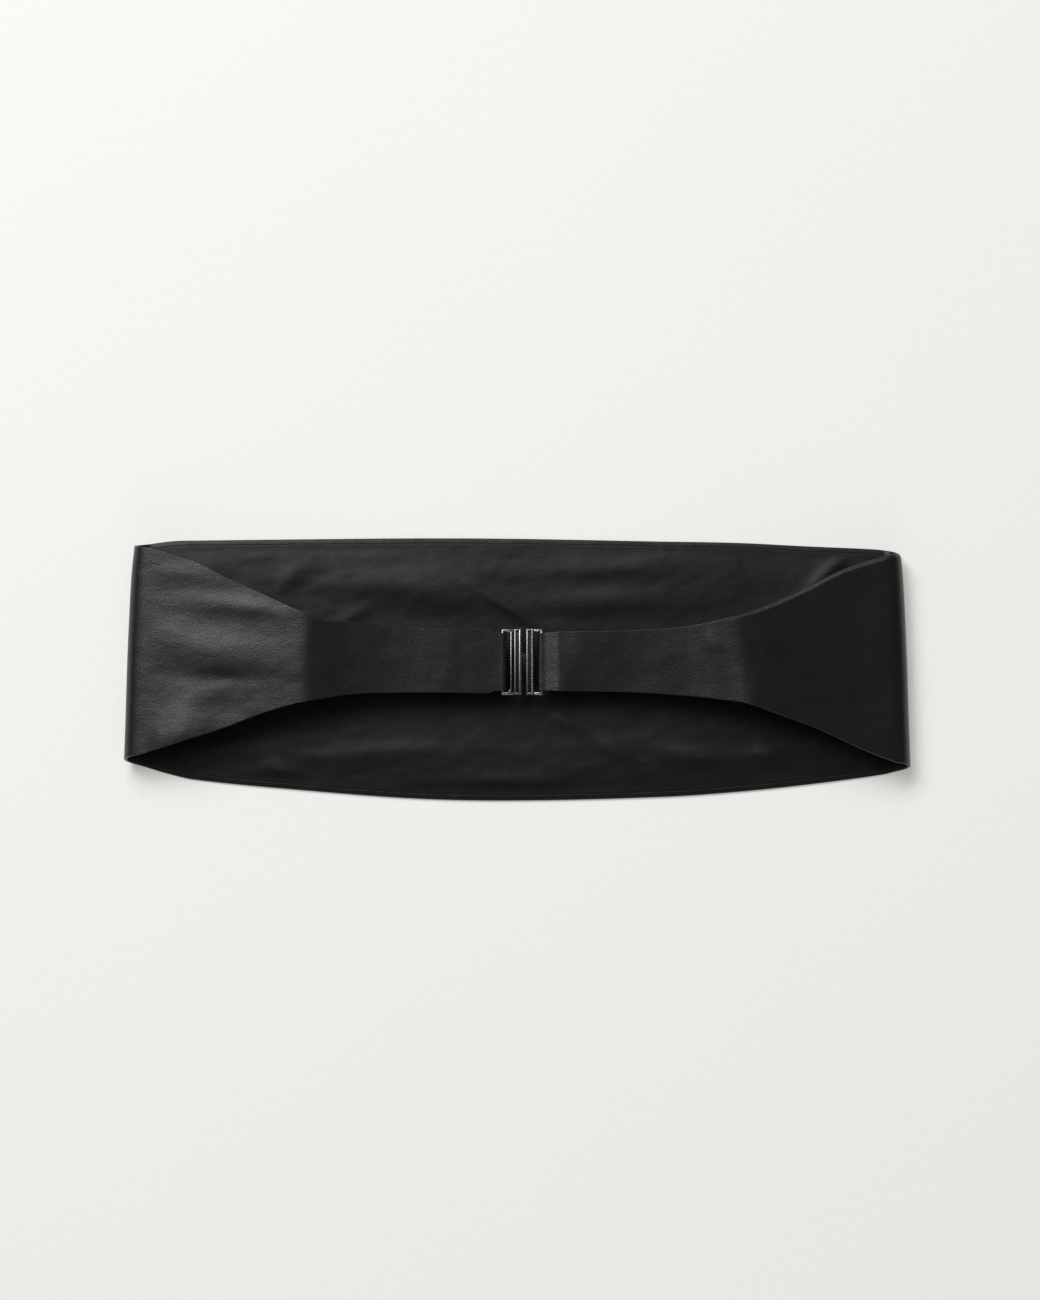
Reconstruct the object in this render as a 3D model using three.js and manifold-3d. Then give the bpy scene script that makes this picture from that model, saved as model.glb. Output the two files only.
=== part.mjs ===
// A cummerbund that lies folded flat, back side up, with its clasp fastened.
// Millimetres. X runs along the band, +Y points to its upper edge, +Z is up.
import * as THREE from "three";
import { mergeVertices } from "three/addons/utils/BufferGeometryUtils.js";
import Module from "manifold-3d";

const wasm = await Module();
wasm.setup();

// Driving sizes of the cloth band
const CLEARANCE = 0.3; // between pieces that touch
const HALF_WIDTH = 178; // from the middle of the panel to the outside of a side fold
const LOWER_REACH = 62.2; // from the strap's centre line down to the panel's lower edge, at its widest
const UPPER_REACH = 59.1; // from the strap's centre line up to the panel's upper edge, at its widest
const FLARE = 3.3; // how much further out a side fold lies at its lower end than at its upper one
const FOLD_HEIGHT = 15; // height of the side folds over the surface
const SEAM_ANGLE = -35; // where the side seam sits on the fold, degrees above level, so on its under side
const SHOULDER_ANGLE = 62; // where a wing leaves the round of the fold, degrees above level
const PANEL_CLOTH = 1.2;
const LINING_CLOTH = 1;
const WING_CLOTH = 1.4;
const HEM_WIDTH = 2.3; // outer cloth turned over along the long edges
const HEM_RISE = 2.5; // height of that turned edge over the surface
const SEAM_ALLOWANCE = 5; // strip of panel cloth that runs on under a wing
const SEAM_LAP = 2; // length of that strip inside the panel's own cloth
const LINING_MARGIN = 1; // from the end of the lining to that strip
const CALM_EDGE = 6; // width along the lining's edges where its folds die out
const CALM_SIDE = 12; // the same beside a side fold
const STRAP_LEFT = 29.7;
const STRAP_RIGHT = 27.4;
const STRAP_TURN = 26.6; // both straps are squeezed to this width where they go through the clasp
const STRAP_EASE = 8; // length over which a strap narrows to that width
const STRAP_TAIL = 16; // length sewn back under the strap
const RIDGE_LIFT = 8.4; // how far a wing stands up over the straight way from seam to clasp
const LINING_RELIEF = 1.6; // height of the tallest fold in the lining
const WING_RELIEF = 1.3; // height of the tallest fold in a wing

// Driving sizes of the clasp
const CLASP_X = 3.1; // middle of the clasp, right of the panel's middle
const CLASP_AXIS = 14; // height of the bars that the straps turn round
const FACE_WIDTH = 3.65; // each half's face
const FACE_GAP = 1.9; // between the two faces
const LEFT_SLOT = 0.8; // open slot between the left strap and the bar beside it
const RIGHT_SLOT = 0.9; // between the right strap and the face
const CLASP_PLATE = 0.6;
const SOCKET_WALL = 0.8; // round the slot that the tongue lies in
const FACE_STEP = 0.3; // from the ends and sides of a face to its raised ends
const FACE_END_WIDTH = 0.7; // width of those raised ends
const LOOP_BAR = 1.6; // diameter of the loops' bars and arms
const INNER_BAR = 0.9;
const GUSSET_BAR = 0.63; // short slanting bars that join the inner bar to the loop's arms
const GUSSET_LENGTH = 2.2; // of a gusset along the inner bar
const GUSSET_REACH = 1.3; // of a gusset across it
const WIDE_BAR = 1.7; // raised bars on the faces, diameters
const LEFT_NARROW_BAR = 1.2;
const RIGHT_NARROW_BAR = 1.1;
const BEAD_PITCH = 0.8;
const BEAD_GROOVE = 0.22;
const TONGUE_WIDTH = 8;
const TONGUE_PLATE = 0.7;
const TONGUE_REACH = 3.35; // past the right face
const TONGUE_ROOT = 0.5; // of the tongue inside the right face
const CATCH_RISE = 0.45; // of the small hook at the tongue's tip
const CATCH_LENGTH = 0.6;
const LIP = 0.9; // of the left half under the tongue
const LIP_INSET = 1; // from the ends of the left face to the lip's ends

// Sizes that follow
const FOLD_RADIUS = FOLD_HEIGHT / 2;
const SEAM_TURN = THREE.MathUtils.degToRad(SEAM_ANGLE);
const SHOULDER_TURN = THREE.MathUtils.degToRad(SHOULDER_ANGLE);
const FOLD_CENTRE = HALF_WIDTH - FOLD_RADIUS;
const PANEL_RUN = FOLD_CENTRE + FOLD_RADIUS * (Math.PI / 2 + SEAM_TURN); // half the panel's length
const BAND_RUN = FOLD_CENTRE + FOLD_RADIUS * (Math.PI / 2 + SHOULDER_TURN); // from the middle to a shoulder
const TURN_RADIUS = LOOP_BAR / 2 + CLEARANCE + WING_CLOTH; // outside of the strap where it goes round a bar
const FACE_END = FACE_GAP / 2 + FACE_WIDTH;
const LEFT_BAR_REACH = FACE_END + 2 * INNER_BAR + LEFT_SLOT + TURN_RADIUS; // from the clasp's middle
const RIGHT_BAR_REACH = FACE_END + RIGHT_SLOT + TURN_RADIUS;
const CLASP_LENGTH = STRAP_TURN + 2 * CLEARANCE + 2 * LOOP_BAR;
const TONGUE_SLOT = TONGUE_PLATE + 2 * CLEARANCE;
const CLASP_DEPTH = TONGUE_SLOT + 2 * CLASP_PLATE;

// Outline of the panel, and of the wings as far as their shoulders.
// along: share of BAND_RUN from the middle, left to right.
// lower and upper: shares of LOWER_REACH and UPPER_REACH.
const PANEL_ROWS = [
  { along: -1, lower: 0.69, upper: 0.896 },
  { along: -0.957, lower: 0.709, upper: 0.926 },
  { along: -0.9, lower: 0.743, upper: 0.955 },
  { along: -0.84, lower: 0.797, upper: 0.979 },
  { along: -0.77, lower: 0.846, upper: 0.983 },
  { along: -0.53, lower: 0.919, upper: 0.992 },
  { along: -0.24, lower: 0.986, upper: 1 },
  { along: 0, lower: 1, upper: 0.996 },
  { along: 0.35, lower: 0.973, upper: 0.975 },
  { along: 0.54, lower: 0.932, upper: 0.964 },
  { along: 0.71, lower: 0.876, upper: 0.937 },
  { along: 0.87, lower: 0.81, upper: 0.914 },
  { along: 0.91, lower: 0.783, upper: 0.9 },
  { along: 0.957, lower: 0.762, upper: 0.864 },
  { along: 1, lower: 0.744, upper: 0.846 },
];

// Bow of the side folds. along: share of UPPER_REACH above the strap's centre line.
// out: share of FLARE that the fold lies outside HALF_WIDTH.
const FLARE_ROWS = [
  { along: -1.1, out: 0.42 },
  { along: -0.76, out: 0.36 },
  { along: -0.45, out: 0.25 },
  { along: 0, out: 0.12 },
  { along: 0.34, out: -0.05 },
  { along: 0.64, out: -0.25 },
  { along: 0.81, out: -0.47 },
  { along: 0.9, out: -0.64 },
  { along: 1, out: -0.76 },
];

// Shares of a cloth's width where its long faces bend to follow that bow
const BOW_SHARES = [0.2, 0.4, 0.6, 0.75, 0.9];

// Section of the panel's turned edge, from its flat face round to the end of the turned cloth.
// across: share of HEM_WIDTH from the outside. depth: share of HEM_RISE.
const HEM_ROWS = [
  { across: 0.3, depth: 0 },
  { across: 0.09, depth: 0.2 },
  { across: 0, depth: 0.5 },
  { across: 0.13, depth: 0.85 },
  { across: 0.48, depth: 1 },
  { across: 0.85, depth: 0.9 },
];

// Outline of each wing. along: share of the way from its shoulder to the loop's bar.
// lower and upper: 0 at the strap's width, 1 at the shoulder's. lift: share of RIDGE_LIFT.
const LEFT_WING_ROWS = [
  { along: 0, lower: 1, upper: 1, lift: 0 },
  { along: 0.02, lower: 0.979, upper: 0.99, lift: 0.1 },
  { along: 0.1, lower: 0.843, upper: 0.886, lift: 0.226 },
  { along: 0.17, lower: 0.715, upper: 0.78, lift: 0.36 },
  { along: 0.25, lower: 0.563, upper: 0.597, lift: 0.51 },
  { along: 0.34, lower: 0.358, upper: 0.423, lift: 0.72 },
  { along: 0.42, lower: 0.216, upper: 0.253, lift: 0.93 },
  { along: 0.465, lower: 0.155, upper: 0.168, lift: 1 },
  { along: 0.5, lower: 0.115, upper: 0.09, lift: 0.9 },
  { along: 0.6, lower: 0.015, upper: 0.078, lift: 0.505 },
  { along: 0.72, lower: -0.015, upper: 0.035, lift: 0.2 },
  { along: 0.85, lower: -0.018, upper: -0.004, lift: 0.045 },
  { along: 1, lower: 0, upper: 0, lift: 0 },
];
const RIGHT_WING_ROWS = [
  { along: 0, lower: 1, upper: 1, lift: 0 },
  { along: 0.02, lower: 0.988, upper: 0.975, lift: 0.1 },
  { along: 0.11, lower: 0.819, upper: 0.85, lift: 0.25 },
  { along: 0.17, lower: 0.681, upper: 0.745, lift: 0.38 },
  { along: 0.25, lower: 0.506, upper: 0.56, lift: 0.56 },
  { along: 0.34, lower: 0.347, upper: 0.37, lift: 0.8 },
  { along: 0.425, lower: 0.202, upper: 0.219, lift: 1 },
  { along: 0.5, lower: 0.135, upper: 0.128, lift: 0.84 },
  { along: 0.6, lower: 0.069, upper: 0.052, lift: 0.52 },
  { along: 0.72, lower: 0.022, upper: 0.018, lift: 0.22 },
  { along: 0.85, lower: 0, upper: 0.005, lift: 0.05 },
  { along: 1, lower: 0, upper: 0, lift: 0 },
];

// Soft folds. x: share of HALF_WIDTH. y: share of UPPER_REACH, down is minus. turn: degrees from the X axis.
// length and width: shares of UPPER_REACH. height: share of the relief, minus for a dent.
const LINING_FOLDS = [
  { x: 0.03, y: 0.5, turn: -25, length: 0.3, width: 0.06, height: 1 },
  { x: -0.06, y: 0.57, turn: -7, length: 0.55, width: 0.05, height: 0.6 },
  { x: 0.25, y: 0.86, turn: 5, length: 0.3, width: 0.1, height: -0.25 },
  { x: 0.47, y: 0.7, turn: 0, length: 0.5, width: 0.05, height: 0.6 },
  { x: 0.7, y: 0.7, turn: 52, length: 0.25, width: 0.06, height: 1 },
  { x: -0.43, y: 0.42, turn: 15, length: 0.3, width: 0.08, height: 0.7 },
  { x: -0.3, y: -0.62, turn: 2, length: 0.45, width: 0.08, height: 0.7 },
  { x: 0.4, y: -0.6, turn: -5, length: 0.3, width: 0.08, height: 0.6 },
  { x: 0.62, y: -0.66, turn: 12, length: 0.3, width: 0.08, height: 0.7 },
  { x: -0.66, y: -0.68, turn: -10, length: 0.3, width: 0.08, height: 0.6 },
];
const LEFT_WING_FOLDS = [
  { x: 0.85, y: 0.62, turn: -4, length: 0.28, width: 0.06, height: -0.7 },
  { x: 0.77, y: 0.38, turn: -8, length: 0.25, width: 0.06, height: -0.6 },
  { x: 0.82, y: 0.05, turn: -16, length: 0.5, width: 0.13, height: -0.8 },
  { x: 0.78, y: -0.25, turn: 20, length: 0.16, width: 0.09, height: -0.6 },
  { x: 0.66, y: 0.22, turn: -20, length: 0.4, width: 0.14, height: 0.8 },
  { x: 0.88, y: -0.36, turn: 25, length: 0.35, width: 0.16, height: 0.7 },
];
const RIGHT_WING_FOLDS = [
  { x: 0.475, y: 0.22, turn: 80, length: 0.2, width: 0.06, height: 1 },
  { x: 0.53, y: -0.08, turn: 80, length: 0.3, width: 0.08, height: 0.8 },
  { x: 0.66, y: 0.05, turn: 75, length: 0.4, width: 0.12, height: -0.5 },
  { x: 0.8, y: 0.2, turn: 30, length: 0.4, width: 0.12, height: 0.7 },
  { x: 0.84, y: -0.35, turn: -20, length: 0.35, width: 0.12, height: -0.6 },
];

// A value of a table at a place along it, on a smooth curve through the rows
function readRow(rows, key, along) {
  const last = rows.length - 2;
  const found = rows.findIndex((row, i) => i <= last && along <= rows[i + 1].along);
  const i = found < 0 ? last : found;
  const [a, b] = [rows[i], rows[i + 1]];
  const before = rows[Math.max(0, i - 1)];
  const after = rows[Math.min(rows.length - 1, i + 2)];
  const span = b.along - a.along;
  const slopeA = ((b[key] - before[key]) / (b.along - before.along)) * span;
  const slopeB = ((after[key] - a[key]) / (after.along - a.along)) * span;
  const s = (along - a.along) / span;
  const s2 = s * s;
  const s3 = s2 * s;
  return (
    (2 * s3 - 3 * s2 + 1) * a[key] +
    (s3 - 2 * s2 + s) * slopeA +
    (3 * s2 - 2 * s3) * b[key] +
    (s3 - s2) * slopeB
  );
}

// Height of all the soft folds at one place of a cloth
function relief(folds, height, x, y) {
  return folds.reduce((sum, fold) => {
    const turn = THREE.MathUtils.degToRad(fold.turn);
    const dx = x - fold.x * HALF_WIDTH;
    const dy = y - fold.y * UPPER_REACH;
    const along = (dx * Math.cos(turn) + dy * Math.sin(turn)) / (fold.length * UPPER_REACH);
    const across = (dy * Math.cos(turn) - dx * Math.sin(turn)) / (fold.width * UPPER_REACH);
    return sum + fold.height * height * Math.exp(-along * along - across * across);
  }, 0);
}

function fadeIn(value, start, end) {
  return THREE.MathUtils.smoothstep(value, start, end);
}

function steps(count) {
  return Array.from({ length: count + 1 }, (_, i) => i / count);
}

// X after the bow of the side folds: every cloth is spread by its place across the band
function spread(x, y) {
  return x * (1 + (FLARE / HALF_WIDTH) * readRow(FLARE_ROWS, "out", y / UPPER_REACH));
}

// Triangles that close a thin section: its two long faces, from lower to upper edge, are laced together
function endTriangles(across) {
  const size = across.length;
  const low = across.indexOf(Math.min(...across));
  const high = across.indexOf(Math.max(...across));
  const triangles = [];
  let [a, b] = [low, low];
  while (a !== high || b !== high) {
    const nextA = (a + 1) % size;
    const nextB = (b + size - 1) % size;
    if (b === high || (a !== high && across[nextA] < across[nextB])) {
      triangles.push([a, nextA, b]);
      a = nextA;
    } else {
      triangles.push([nextB, b, a]);
      b = nextB;
    }
  }
  return triangles.filter(([i, j, k]) => i !== j && j !== k && k !== i);
}

// A closed solid from rings of equal length: one ring for each station along the cloth
function bandSolid(rings, mirrored) {
  const size = rings[0].points.length;
  const places = rings.flatMap((ring) => ring.points);
  const positions = places.flatMap(([x, y, z]) => [mirrored ? -spread(x, y) : spread(x, y), y, z]);
  const triangles = [];
  for (let i = 0; i + 1 < rings.length; i++) {
    for (let j = 0; j < size; j++) {
      const k = (j + 1) % size;
      const [a, b, c, d] = [i * size + j, i * size + k, (i + 1) * size + k, (i + 1) * size + j];
      triangles.push([a, b, c], [a, c, d]);
    }
  }
  const end = (rings.length - 1) * size;
  for (const [a, b, c] of endTriangles(rings[0].across)) triangles.push([a, c, b]);
  for (const [a, b, c] of endTriangles(rings.at(-1).across)) triangles.push([end + a, end + b, end + c]);
  const turned = mirrored ? triangles.map(([a, b, c]) => [a, c, b]) : triangles;
  const geometry = new THREE.BufferGeometry();
  geometry.setAttribute("position", new THREE.Float32BufferAttribute(positions, 3));
  geometry.setIndex(turned.flat());
  return geometry;
}

// A station: a point of the cloth's outer face seen along Y, the way into the cloth, and its two edges
function ringAt(station, section) {
  return {
    across: section.map(({ across }) => across),
    points: section.map(({ across, depth }) => [
      station.x + station.inX * depth,
      across - station.lower,
      station.z + station.inZ * depth,
    ]),
  };
}

// Section of a cloth with round edges. The first row of points is the outer face.
function roundedSection(width, wall, outerCount, innerCount, reliefAt) {
  const edge = wall / 2;
  const points = [];
  const add = (across, depth) => points.push({ across, depth: depth - reliefAt(across) });
  for (const share of steps(outerCount)) add(edge + share * (width - wall), 0);
  for (const turn of [0.25, 0.5, 0.75]) {
    add(width - edge + edge * Math.sin(turn * Math.PI), edge - edge * Math.cos(turn * Math.PI));
  }
  for (const share of steps(innerCount)) add(width - edge - share * (width - wall), wall);
  for (const turn of [0.75, 0.5, 0.25]) {
    add(edge - edge * Math.sin(turn * Math.PI), edge - edge * Math.cos(turn * Math.PI));
  }
  return points;
}

// The points between the two edges of a long face, at one depth
function facePoints(width, depth) {
  return BOW_SHARES.map((share) => ({ across: share * width, depth }));
}

function panelEdges(along) {
  return {
    lower: readRow(PANEL_ROWS, "lower", along) * LOWER_REACH,
    upper: readRow(PANEL_ROWS, "upper", along) * UPPER_REACH,
  };
}

// The band's way seen along Y: round the left fold, along the surface, round the right fold
function bandStation(distance) {
  const side = Math.sign(distance) || 1;
  const reach = Math.abs(distance);
  const edges = panelEdges(THREE.MathUtils.clamp(distance / BAND_RUN, -1, 1));
  if (reach <= FOLD_CENTRE) return { x: distance, z: 0, inX: 0, inZ: 1, reach, ...edges };
  const turn = (reach - FOLD_CENTRE) / FOLD_RADIUS - Math.PI / 2;
  return {
    x: side * (FOLD_CENTRE + FOLD_RADIUS * Math.cos(turn)),
    z: FOLD_RADIUS + FOLD_RADIUS * Math.sin(turn),
    inX: -side * Math.cos(turn),
    inZ: -Math.sin(turn),
    reach,
    ...edges,
  };
}

// Distances along the panel, close together in the folds and wide apart on the flat
function panelDistances(limit) {
  const bend = steps(5).map((share) => FOLD_CENTRE + share * (limit - FOLD_CENTRE));
  const flat = steps(30).map((share) => FOLD_CENTRE * (2 * share - 1));
  return [...bend.slice(1).reverse().map((d) => -d), ...flat, ...bend.slice(1)];
}

function frontPanelGeometry() {
  const section = (width) => {
    const hem = HEM_ROWS.map((row) => ({ across: row.across * HEM_WIDTH, depth: row.depth * HEM_RISE }));
    hem.push({ across: HEM_WIDTH, depth: PANEL_CLOTH });
    const far = hem.map(({ across, depth }) => ({ across: width - across, depth }));
    const inside = facePoints(width, PANEL_CLOTH).reverse();
    return [...far, ...inside, ...hem.slice().reverse(), ...facePoints(width, 0)];
  };
  const rings = panelDistances(PANEL_RUN).map((distance) => {
    const station = bandStation(distance);
    return ringAt(station, section(station.lower + station.upper));
  });
  return bandSolid(rings, false);
}

// The strip that joins the panel to a wing: it starts inside the panel's cloth and runs on under the wing
function seamStripGeometry(side) {
  const top = WING_CLOTH + CLEARANCE;
  const inset = HEM_WIDTH * 2;
  const offsets = [-SEAM_LAP, -CLEARANCE, 0, SEAM_ALLOWANCE / 2, SEAM_ALLOWANCE];
  const rings = offsets.map((offset) => {
    const station = bandStation(side * (PANEL_RUN + offset));
    const outer = offset < 0 ? PANEL_CLOTH / 2 : top;
    const width = station.lower + station.upper;
    const inner = top + PANEL_CLOTH;
    const section = [
      { across: inset, depth: outer },
      ...facePoints(width, outer),
      { across: width - inset, depth: outer },
      { across: width - inset, depth: inner },
      ...facePoints(width, inner).reverse(),
      { across: inset, depth: inner },
    ];
    return ringAt(station, section);
  });
  return bandSolid(side > 0 ? rings : rings.reverse(), false);
}

function liningGeometry() {
  const under = PANEL_CLOTH + CLEARANCE;
  const limit = PANEL_RUN - SEAM_LAP - LINING_MARGIN;
  const inset = HEM_WIDTH + CLEARANCE;
  const rings = panelDistances(limit).map((distance) => {
    const station = bandStation(distance);
    const width = station.lower + station.upper - 2 * inset;
    const flatness = 1 - fadeIn(station.reach, FOLD_CENTRE - CALM_SIDE, FOLD_CENTRE);
    const reliefAt = (across) => {
      const y = across + inset - station.lower;
      const edge = fadeIn(Math.min(across, width - across), 0, CALM_EDGE);
      return -relief(LINING_FOLDS, LINING_RELIEF, station.x, y) * flatness * edge;
    };
    const flat = roundedSection(width, LINING_CLOTH, 8, 11, (across) => Math.min(0, reliefAt(across)));
    const section = flat.map(({ across, depth }) => ({ across: across + inset, depth: depth + under }));
    return ringAt(station, section);
  });
  return bandSolid(rings, false);
}

// One wing, worked out on the right-hand side: out at the side fold, in at the clasp
function wingGeometry({ rows, folds, strap, bar, mirrored }) {
  const side = mirrored ? -1 : 1;
  const shoulder = bandStation(side * BAND_RUN);
  const startX = Math.abs(shoulder.x);
  const startZ = shoulder.z;
  const endZ = CLASP_AXIS + TURN_RADIUS;
  const place = (along) => ({
    x: THREE.MathUtils.lerp(startX, bar, along),
    z: THREE.MathUtils.lerp(startZ, endZ, along) + RIDGE_LIFT * readRow(rows, "lift", along),
  });
  const narrowing = (x) => ((strap - STRAP_TURN) / 2) * (1 - fadeIn(Math.abs(x - bar), LOOP_BAR, STRAP_EASE));
  const edge = (key, along, x) =>
    THREE.MathUtils.lerp(strap / 2, shoulder[key], readRow(rows, key, along)) - narrowing(x);
  const start = PANEL_RUN + CLEARANCE;
  const round = steps(6).slice(0, -1).map((share) => {
    const station = bandStation(side * THREE.MathUtils.lerp(start, BAND_RUN, share));
    return { ...station, x: Math.abs(station.x), along: 0 };
  });
  const main = [0, 0.016, 0.04, 0.07]
    .concat(steps(23).map((share) => 0.1 + share * 0.74))
    .concat([0.875, 0.91, 0.94, 0.965, 0.985, 1])
    .map((along) => {
      const { x, z } = place(along);
      return { x, z, along, lower: edge("lower", along, x), upper: edge("upper", along, x) };
    });
  const way = [...round, ...main];
  const atBar = { along: 1, lower: STRAP_TURN / 2, upper: STRAP_TURN / 2 };
  for (const share of steps(7).slice(1)) {
    const turn = share * Math.PI;
    const x = bar - TURN_RADIUS * Math.sin(turn);
    way.push({ x, z: CLASP_AXIS + TURN_RADIUS * Math.cos(turn), ...atBar });
  }
  const layers = 2 * WING_CLOTH + CLEARANCE;
  for (const share of steps(6).slice(1)) {
    const x = bar + share * STRAP_TAIL;
    const along = 1 - (x - bar) / (startX - bar);
    const z = THREE.MathUtils.lerp(CLASP_AXIS - TURN_RADIUS, place(along).z - layers, fadeIn(share, 0, 0.5));
    way.push({ x, z, ...atBar });
  }
  const rings = way.map((station, i) => {
    const before = way[Math.max(0, i - 1)];
    const after = way[Math.min(way.length - 1, i + 1)];
    const tangent = new THREE.Vector2(after.x - before.x, after.z - before.z).normalize();
    const inward = i < round.length ? [-Math.abs(station.inX), station.inZ] : [-tangent.y, tangent.x];
    const [inX, inZ] = inward;
    const width = station.lower + station.upper;
    const soft = fadeIn(station.along, 0.01, 0.08) * (1 - fadeIn(station.along, 0.85, 0.95));
    const reliefAt = (across) => soft * relief(folds, WING_RELIEF, station.x, across - station.lower);
    const section = roundedSection(width, WING_CLOTH, 8, 7, reliefAt);
    return ringAt({ ...station, inX, inZ }, section);
  });
  return bandSolid(rings, mirrored);
}

// Solids for joins and cuts
function toSolid(geometry) {
  const bare = geometry.clone();
  bare.deleteAttribute("normal");
  bare.deleteAttribute("uv");
  const merged = mergeVertices(bare, 1e-4);
  return new wasm.Manifold(
    new wasm.Mesh({
      numProp: 3,
      vertProperties: new Float32Array(merged.attributes.position.array),
      triVerts: new Uint32Array(merged.index.array),
    }),
  );
}

function fromSolid(solid) {
  const mesh = solid.getMesh();
  const geometry = new THREE.BufferGeometry();
  geometry.setAttribute("position", new THREE.BufferAttribute(mesh.vertProperties, 3));
  geometry.setIndex(new THREE.BufferAttribute(mesh.triVerts, 1));
  return geometry;
}

function join(solids) {
  return solids.reduce((all, solid) => all.add(solid));
}

function box(fromX, toX, halfLength, fromZ, toZ) {
  const geometry = new THREE.BoxGeometry(toX - fromX, 2 * halfLength, toZ - fromZ);
  return toSolid(geometry.translate((fromX + toX) / 2, 0, (fromZ + toZ) / 2));
}

// A round bar along Y with round ends
function barAlongY(diameter, length, x, z) {
  const geometry = new THREE.CapsuleGeometry(diameter / 2, length - diameter, 3, 10);
  return toSolid(geometry.translate(x, 0, z));
}

function barBetween(diameter, from, to) {
  const a = new THREE.Vector3(...from);
  const b = new THREE.Vector3(...to);
  const geometry = new THREE.CapsuleGeometry(diameter / 2, a.distanceTo(b), 3, 8);
  const way = b.clone().sub(a).normalize();
  geometry.applyQuaternion(new THREE.Quaternion().setFromUnitVectors(new THREE.Vector3(0, 1, 0), way));
  geometry.translate(...a.add(b).multiplyScalar(0.5).toArray());
  return toSolid(geometry);
}

// A bar along Y cut into beads
function beadedBar(diameter, length, x, z) {
  const count = Math.round(length / BEAD_PITCH);
  const profile = [new THREE.Vector2(0, -length / 2)];
  for (let i = 0; i < count; i++) {
    const y = length * (i / count - 0.5);
    const step = length / count;
    profile.push(new THREE.Vector2(diameter / 2 - BEAD_GROOVE, y));
    profile.push(new THREE.Vector2(diameter / 2, y + step / 2));
  }
  profile.push(new THREE.Vector2(diameter / 2 - BEAD_GROOVE, length / 2));
  profile.push(new THREE.Vector2(0, length / 2));
  return toSolid(new THREE.LatheGeometry(profile, 8).translate(x, 0, z));
}

// The open frame that a strap turns round, left of the face. reach: from the clasp's middle to its far bar.
function strapLoop(reach) {
  const armY = (CLASP_LENGTH - LOOP_BAR) / 2;
  const armEnd = -FACE_END + LOOP_BAR / 2;
  const arms = [-armY, armY].map((y) => barBetween(LOOP_BAR, [-reach, y, 0], [armEnd, y, 0]));
  return join([...arms, barAlongY(LOOP_BAR, CLASP_LENGTH, -reach, 0)]);
}

// Raised ends that close the groove between the two bars of a face
function faceEnds(fromX, toX, top) {
  const [insideX, outsideX] = [fromX + FACE_STEP, toX - FACE_STEP];
  const outer = CLASP_LENGTH / 2 - FACE_STEP;
  const whole = box(insideX, outsideX, outer, 0, top);
  return whole.subtract(box(fromX, toX, outer - FACE_END_WIDTH, -CLEARANCE, top + CLEARANCE));
}

function claspSocketGeometry() {
  const half = CLASP_LENGTH / 2;
  const top = CLASP_DEPTH / 2;
  const [outside, inside] = [-FACE_END, -FACE_GAP / 2];
  const body = box(outside, inside, half, -top, top);
  const lip = box(outside, inside + LIP, half - LIP_INSET, -top, -TONGUE_SLOT / 2);
  const slotEnd = half - 2 * SOCKET_WALL;
  const slot = box(outside + SOCKET_WALL, inside + 2 * LIP, slotEnd, -TONGUE_SLOT / 2, TONGUE_SLOT / 2);
  const tip = FACE_GAP / 2 - TONGUE_REACH;
  const pocketTop = TONGUE_PLATE / 2 + CATCH_RISE + CLEARANCE;
  const pocketEnd = tip + CATCH_LENGTH + CLEARANCE;
  const pocket = box(tip - CLEARANCE, pocketEnd, TONGUE_WIDTH / 2 + CLEARANCE, 0, pocketTop);
  const narrow = barAlongY(LEFT_NARROW_BAR, 2 * half, outside + LEFT_NARROW_BAR / 2, top);
  const wide = barAlongY(WIDE_BAR, 2 * half, inside - WIDE_BAR / 2, top);
  const ends = faceEnds(outside, inside, top + LEFT_NARROW_BAR * 0.4);
  const innerX = outside - LEFT_SLOT - INNER_BAR / 2;
  const inner = barAlongY(INNER_BAR, 2 * half - LOOP_BAR, innerX, 0);
  const armY = half - LOOP_BAR / 2;
  const gussets = [-1, 1].map((side) => {
    const from = [innerX, side * (armY - GUSSET_LENGTH), 0];
    return barBetween(GUSSET_BAR, from, [innerX - GUSSET_REACH, side * armY, 0]);
  });
  const outer = join([body, lip, narrow, wide, ends, strapLoop(LEFT_BAR_REACH), inner, ...gussets]);
  return fromSolid(outer.subtract(slot).subtract(pocket));
}

function claspTongueGeometry() {
  const half = CLASP_LENGTH / 2;
  const top = CLASP_DEPTH / 2;
  const [inside, outside] = [FACE_GAP / 2, FACE_END];
  const body = box(inside, outside, half, -top, top);
  const narrow = barAlongY(RIGHT_NARROW_BAR, 2 * half, inside + RIGHT_NARROW_BAR / 2, top);
  const beads = beadedBar(WIDE_BAR, 2 * half - FACE_STEP, outside - WIDE_BAR / 2, top);
  const ends = faceEnds(inside, outside, top + RIGHT_NARROW_BAR * 0.4);
  const loop = strapLoop(RIGHT_BAR_REACH).mirror([1, 0, 0]);
  const tip = inside - TONGUE_REACH;
  const tongue = box(tip, inside + TONGUE_ROOT, TONGUE_WIDTH / 2, -TONGUE_PLATE / 2, TONGUE_PLATE / 2);
  const rise = TONGUE_PLATE / 2 + CATCH_RISE;
  const hook = box(tip, tip + CATCH_LENGTH, TONGUE_WIDTH / 2, 0, rise);
  return fromSolid(join([body, narrow, beads, ends, loop, tongue, hook]));
}

const materials = {
  satin: new THREE.MeshStandardMaterial({ name: "satin", color: 0x17161a, roughness: 0.42, metalness: 0 }),
  lining: new THREE.MeshStandardMaterial({ name: "lining", color: 0x1c1b22, roughness: 0.6, metalness: 0 }),
  nickel: new THREE.MeshStandardMaterial({ name: "nickel", color: 0x6d6a68, roughness: 0.25, metalness: 1 }),
};

function piece(name, geometry, material) {
  const mesh = new THREE.Mesh(geometry, material);
  mesh.name = name;
  return mesh;
}

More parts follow.
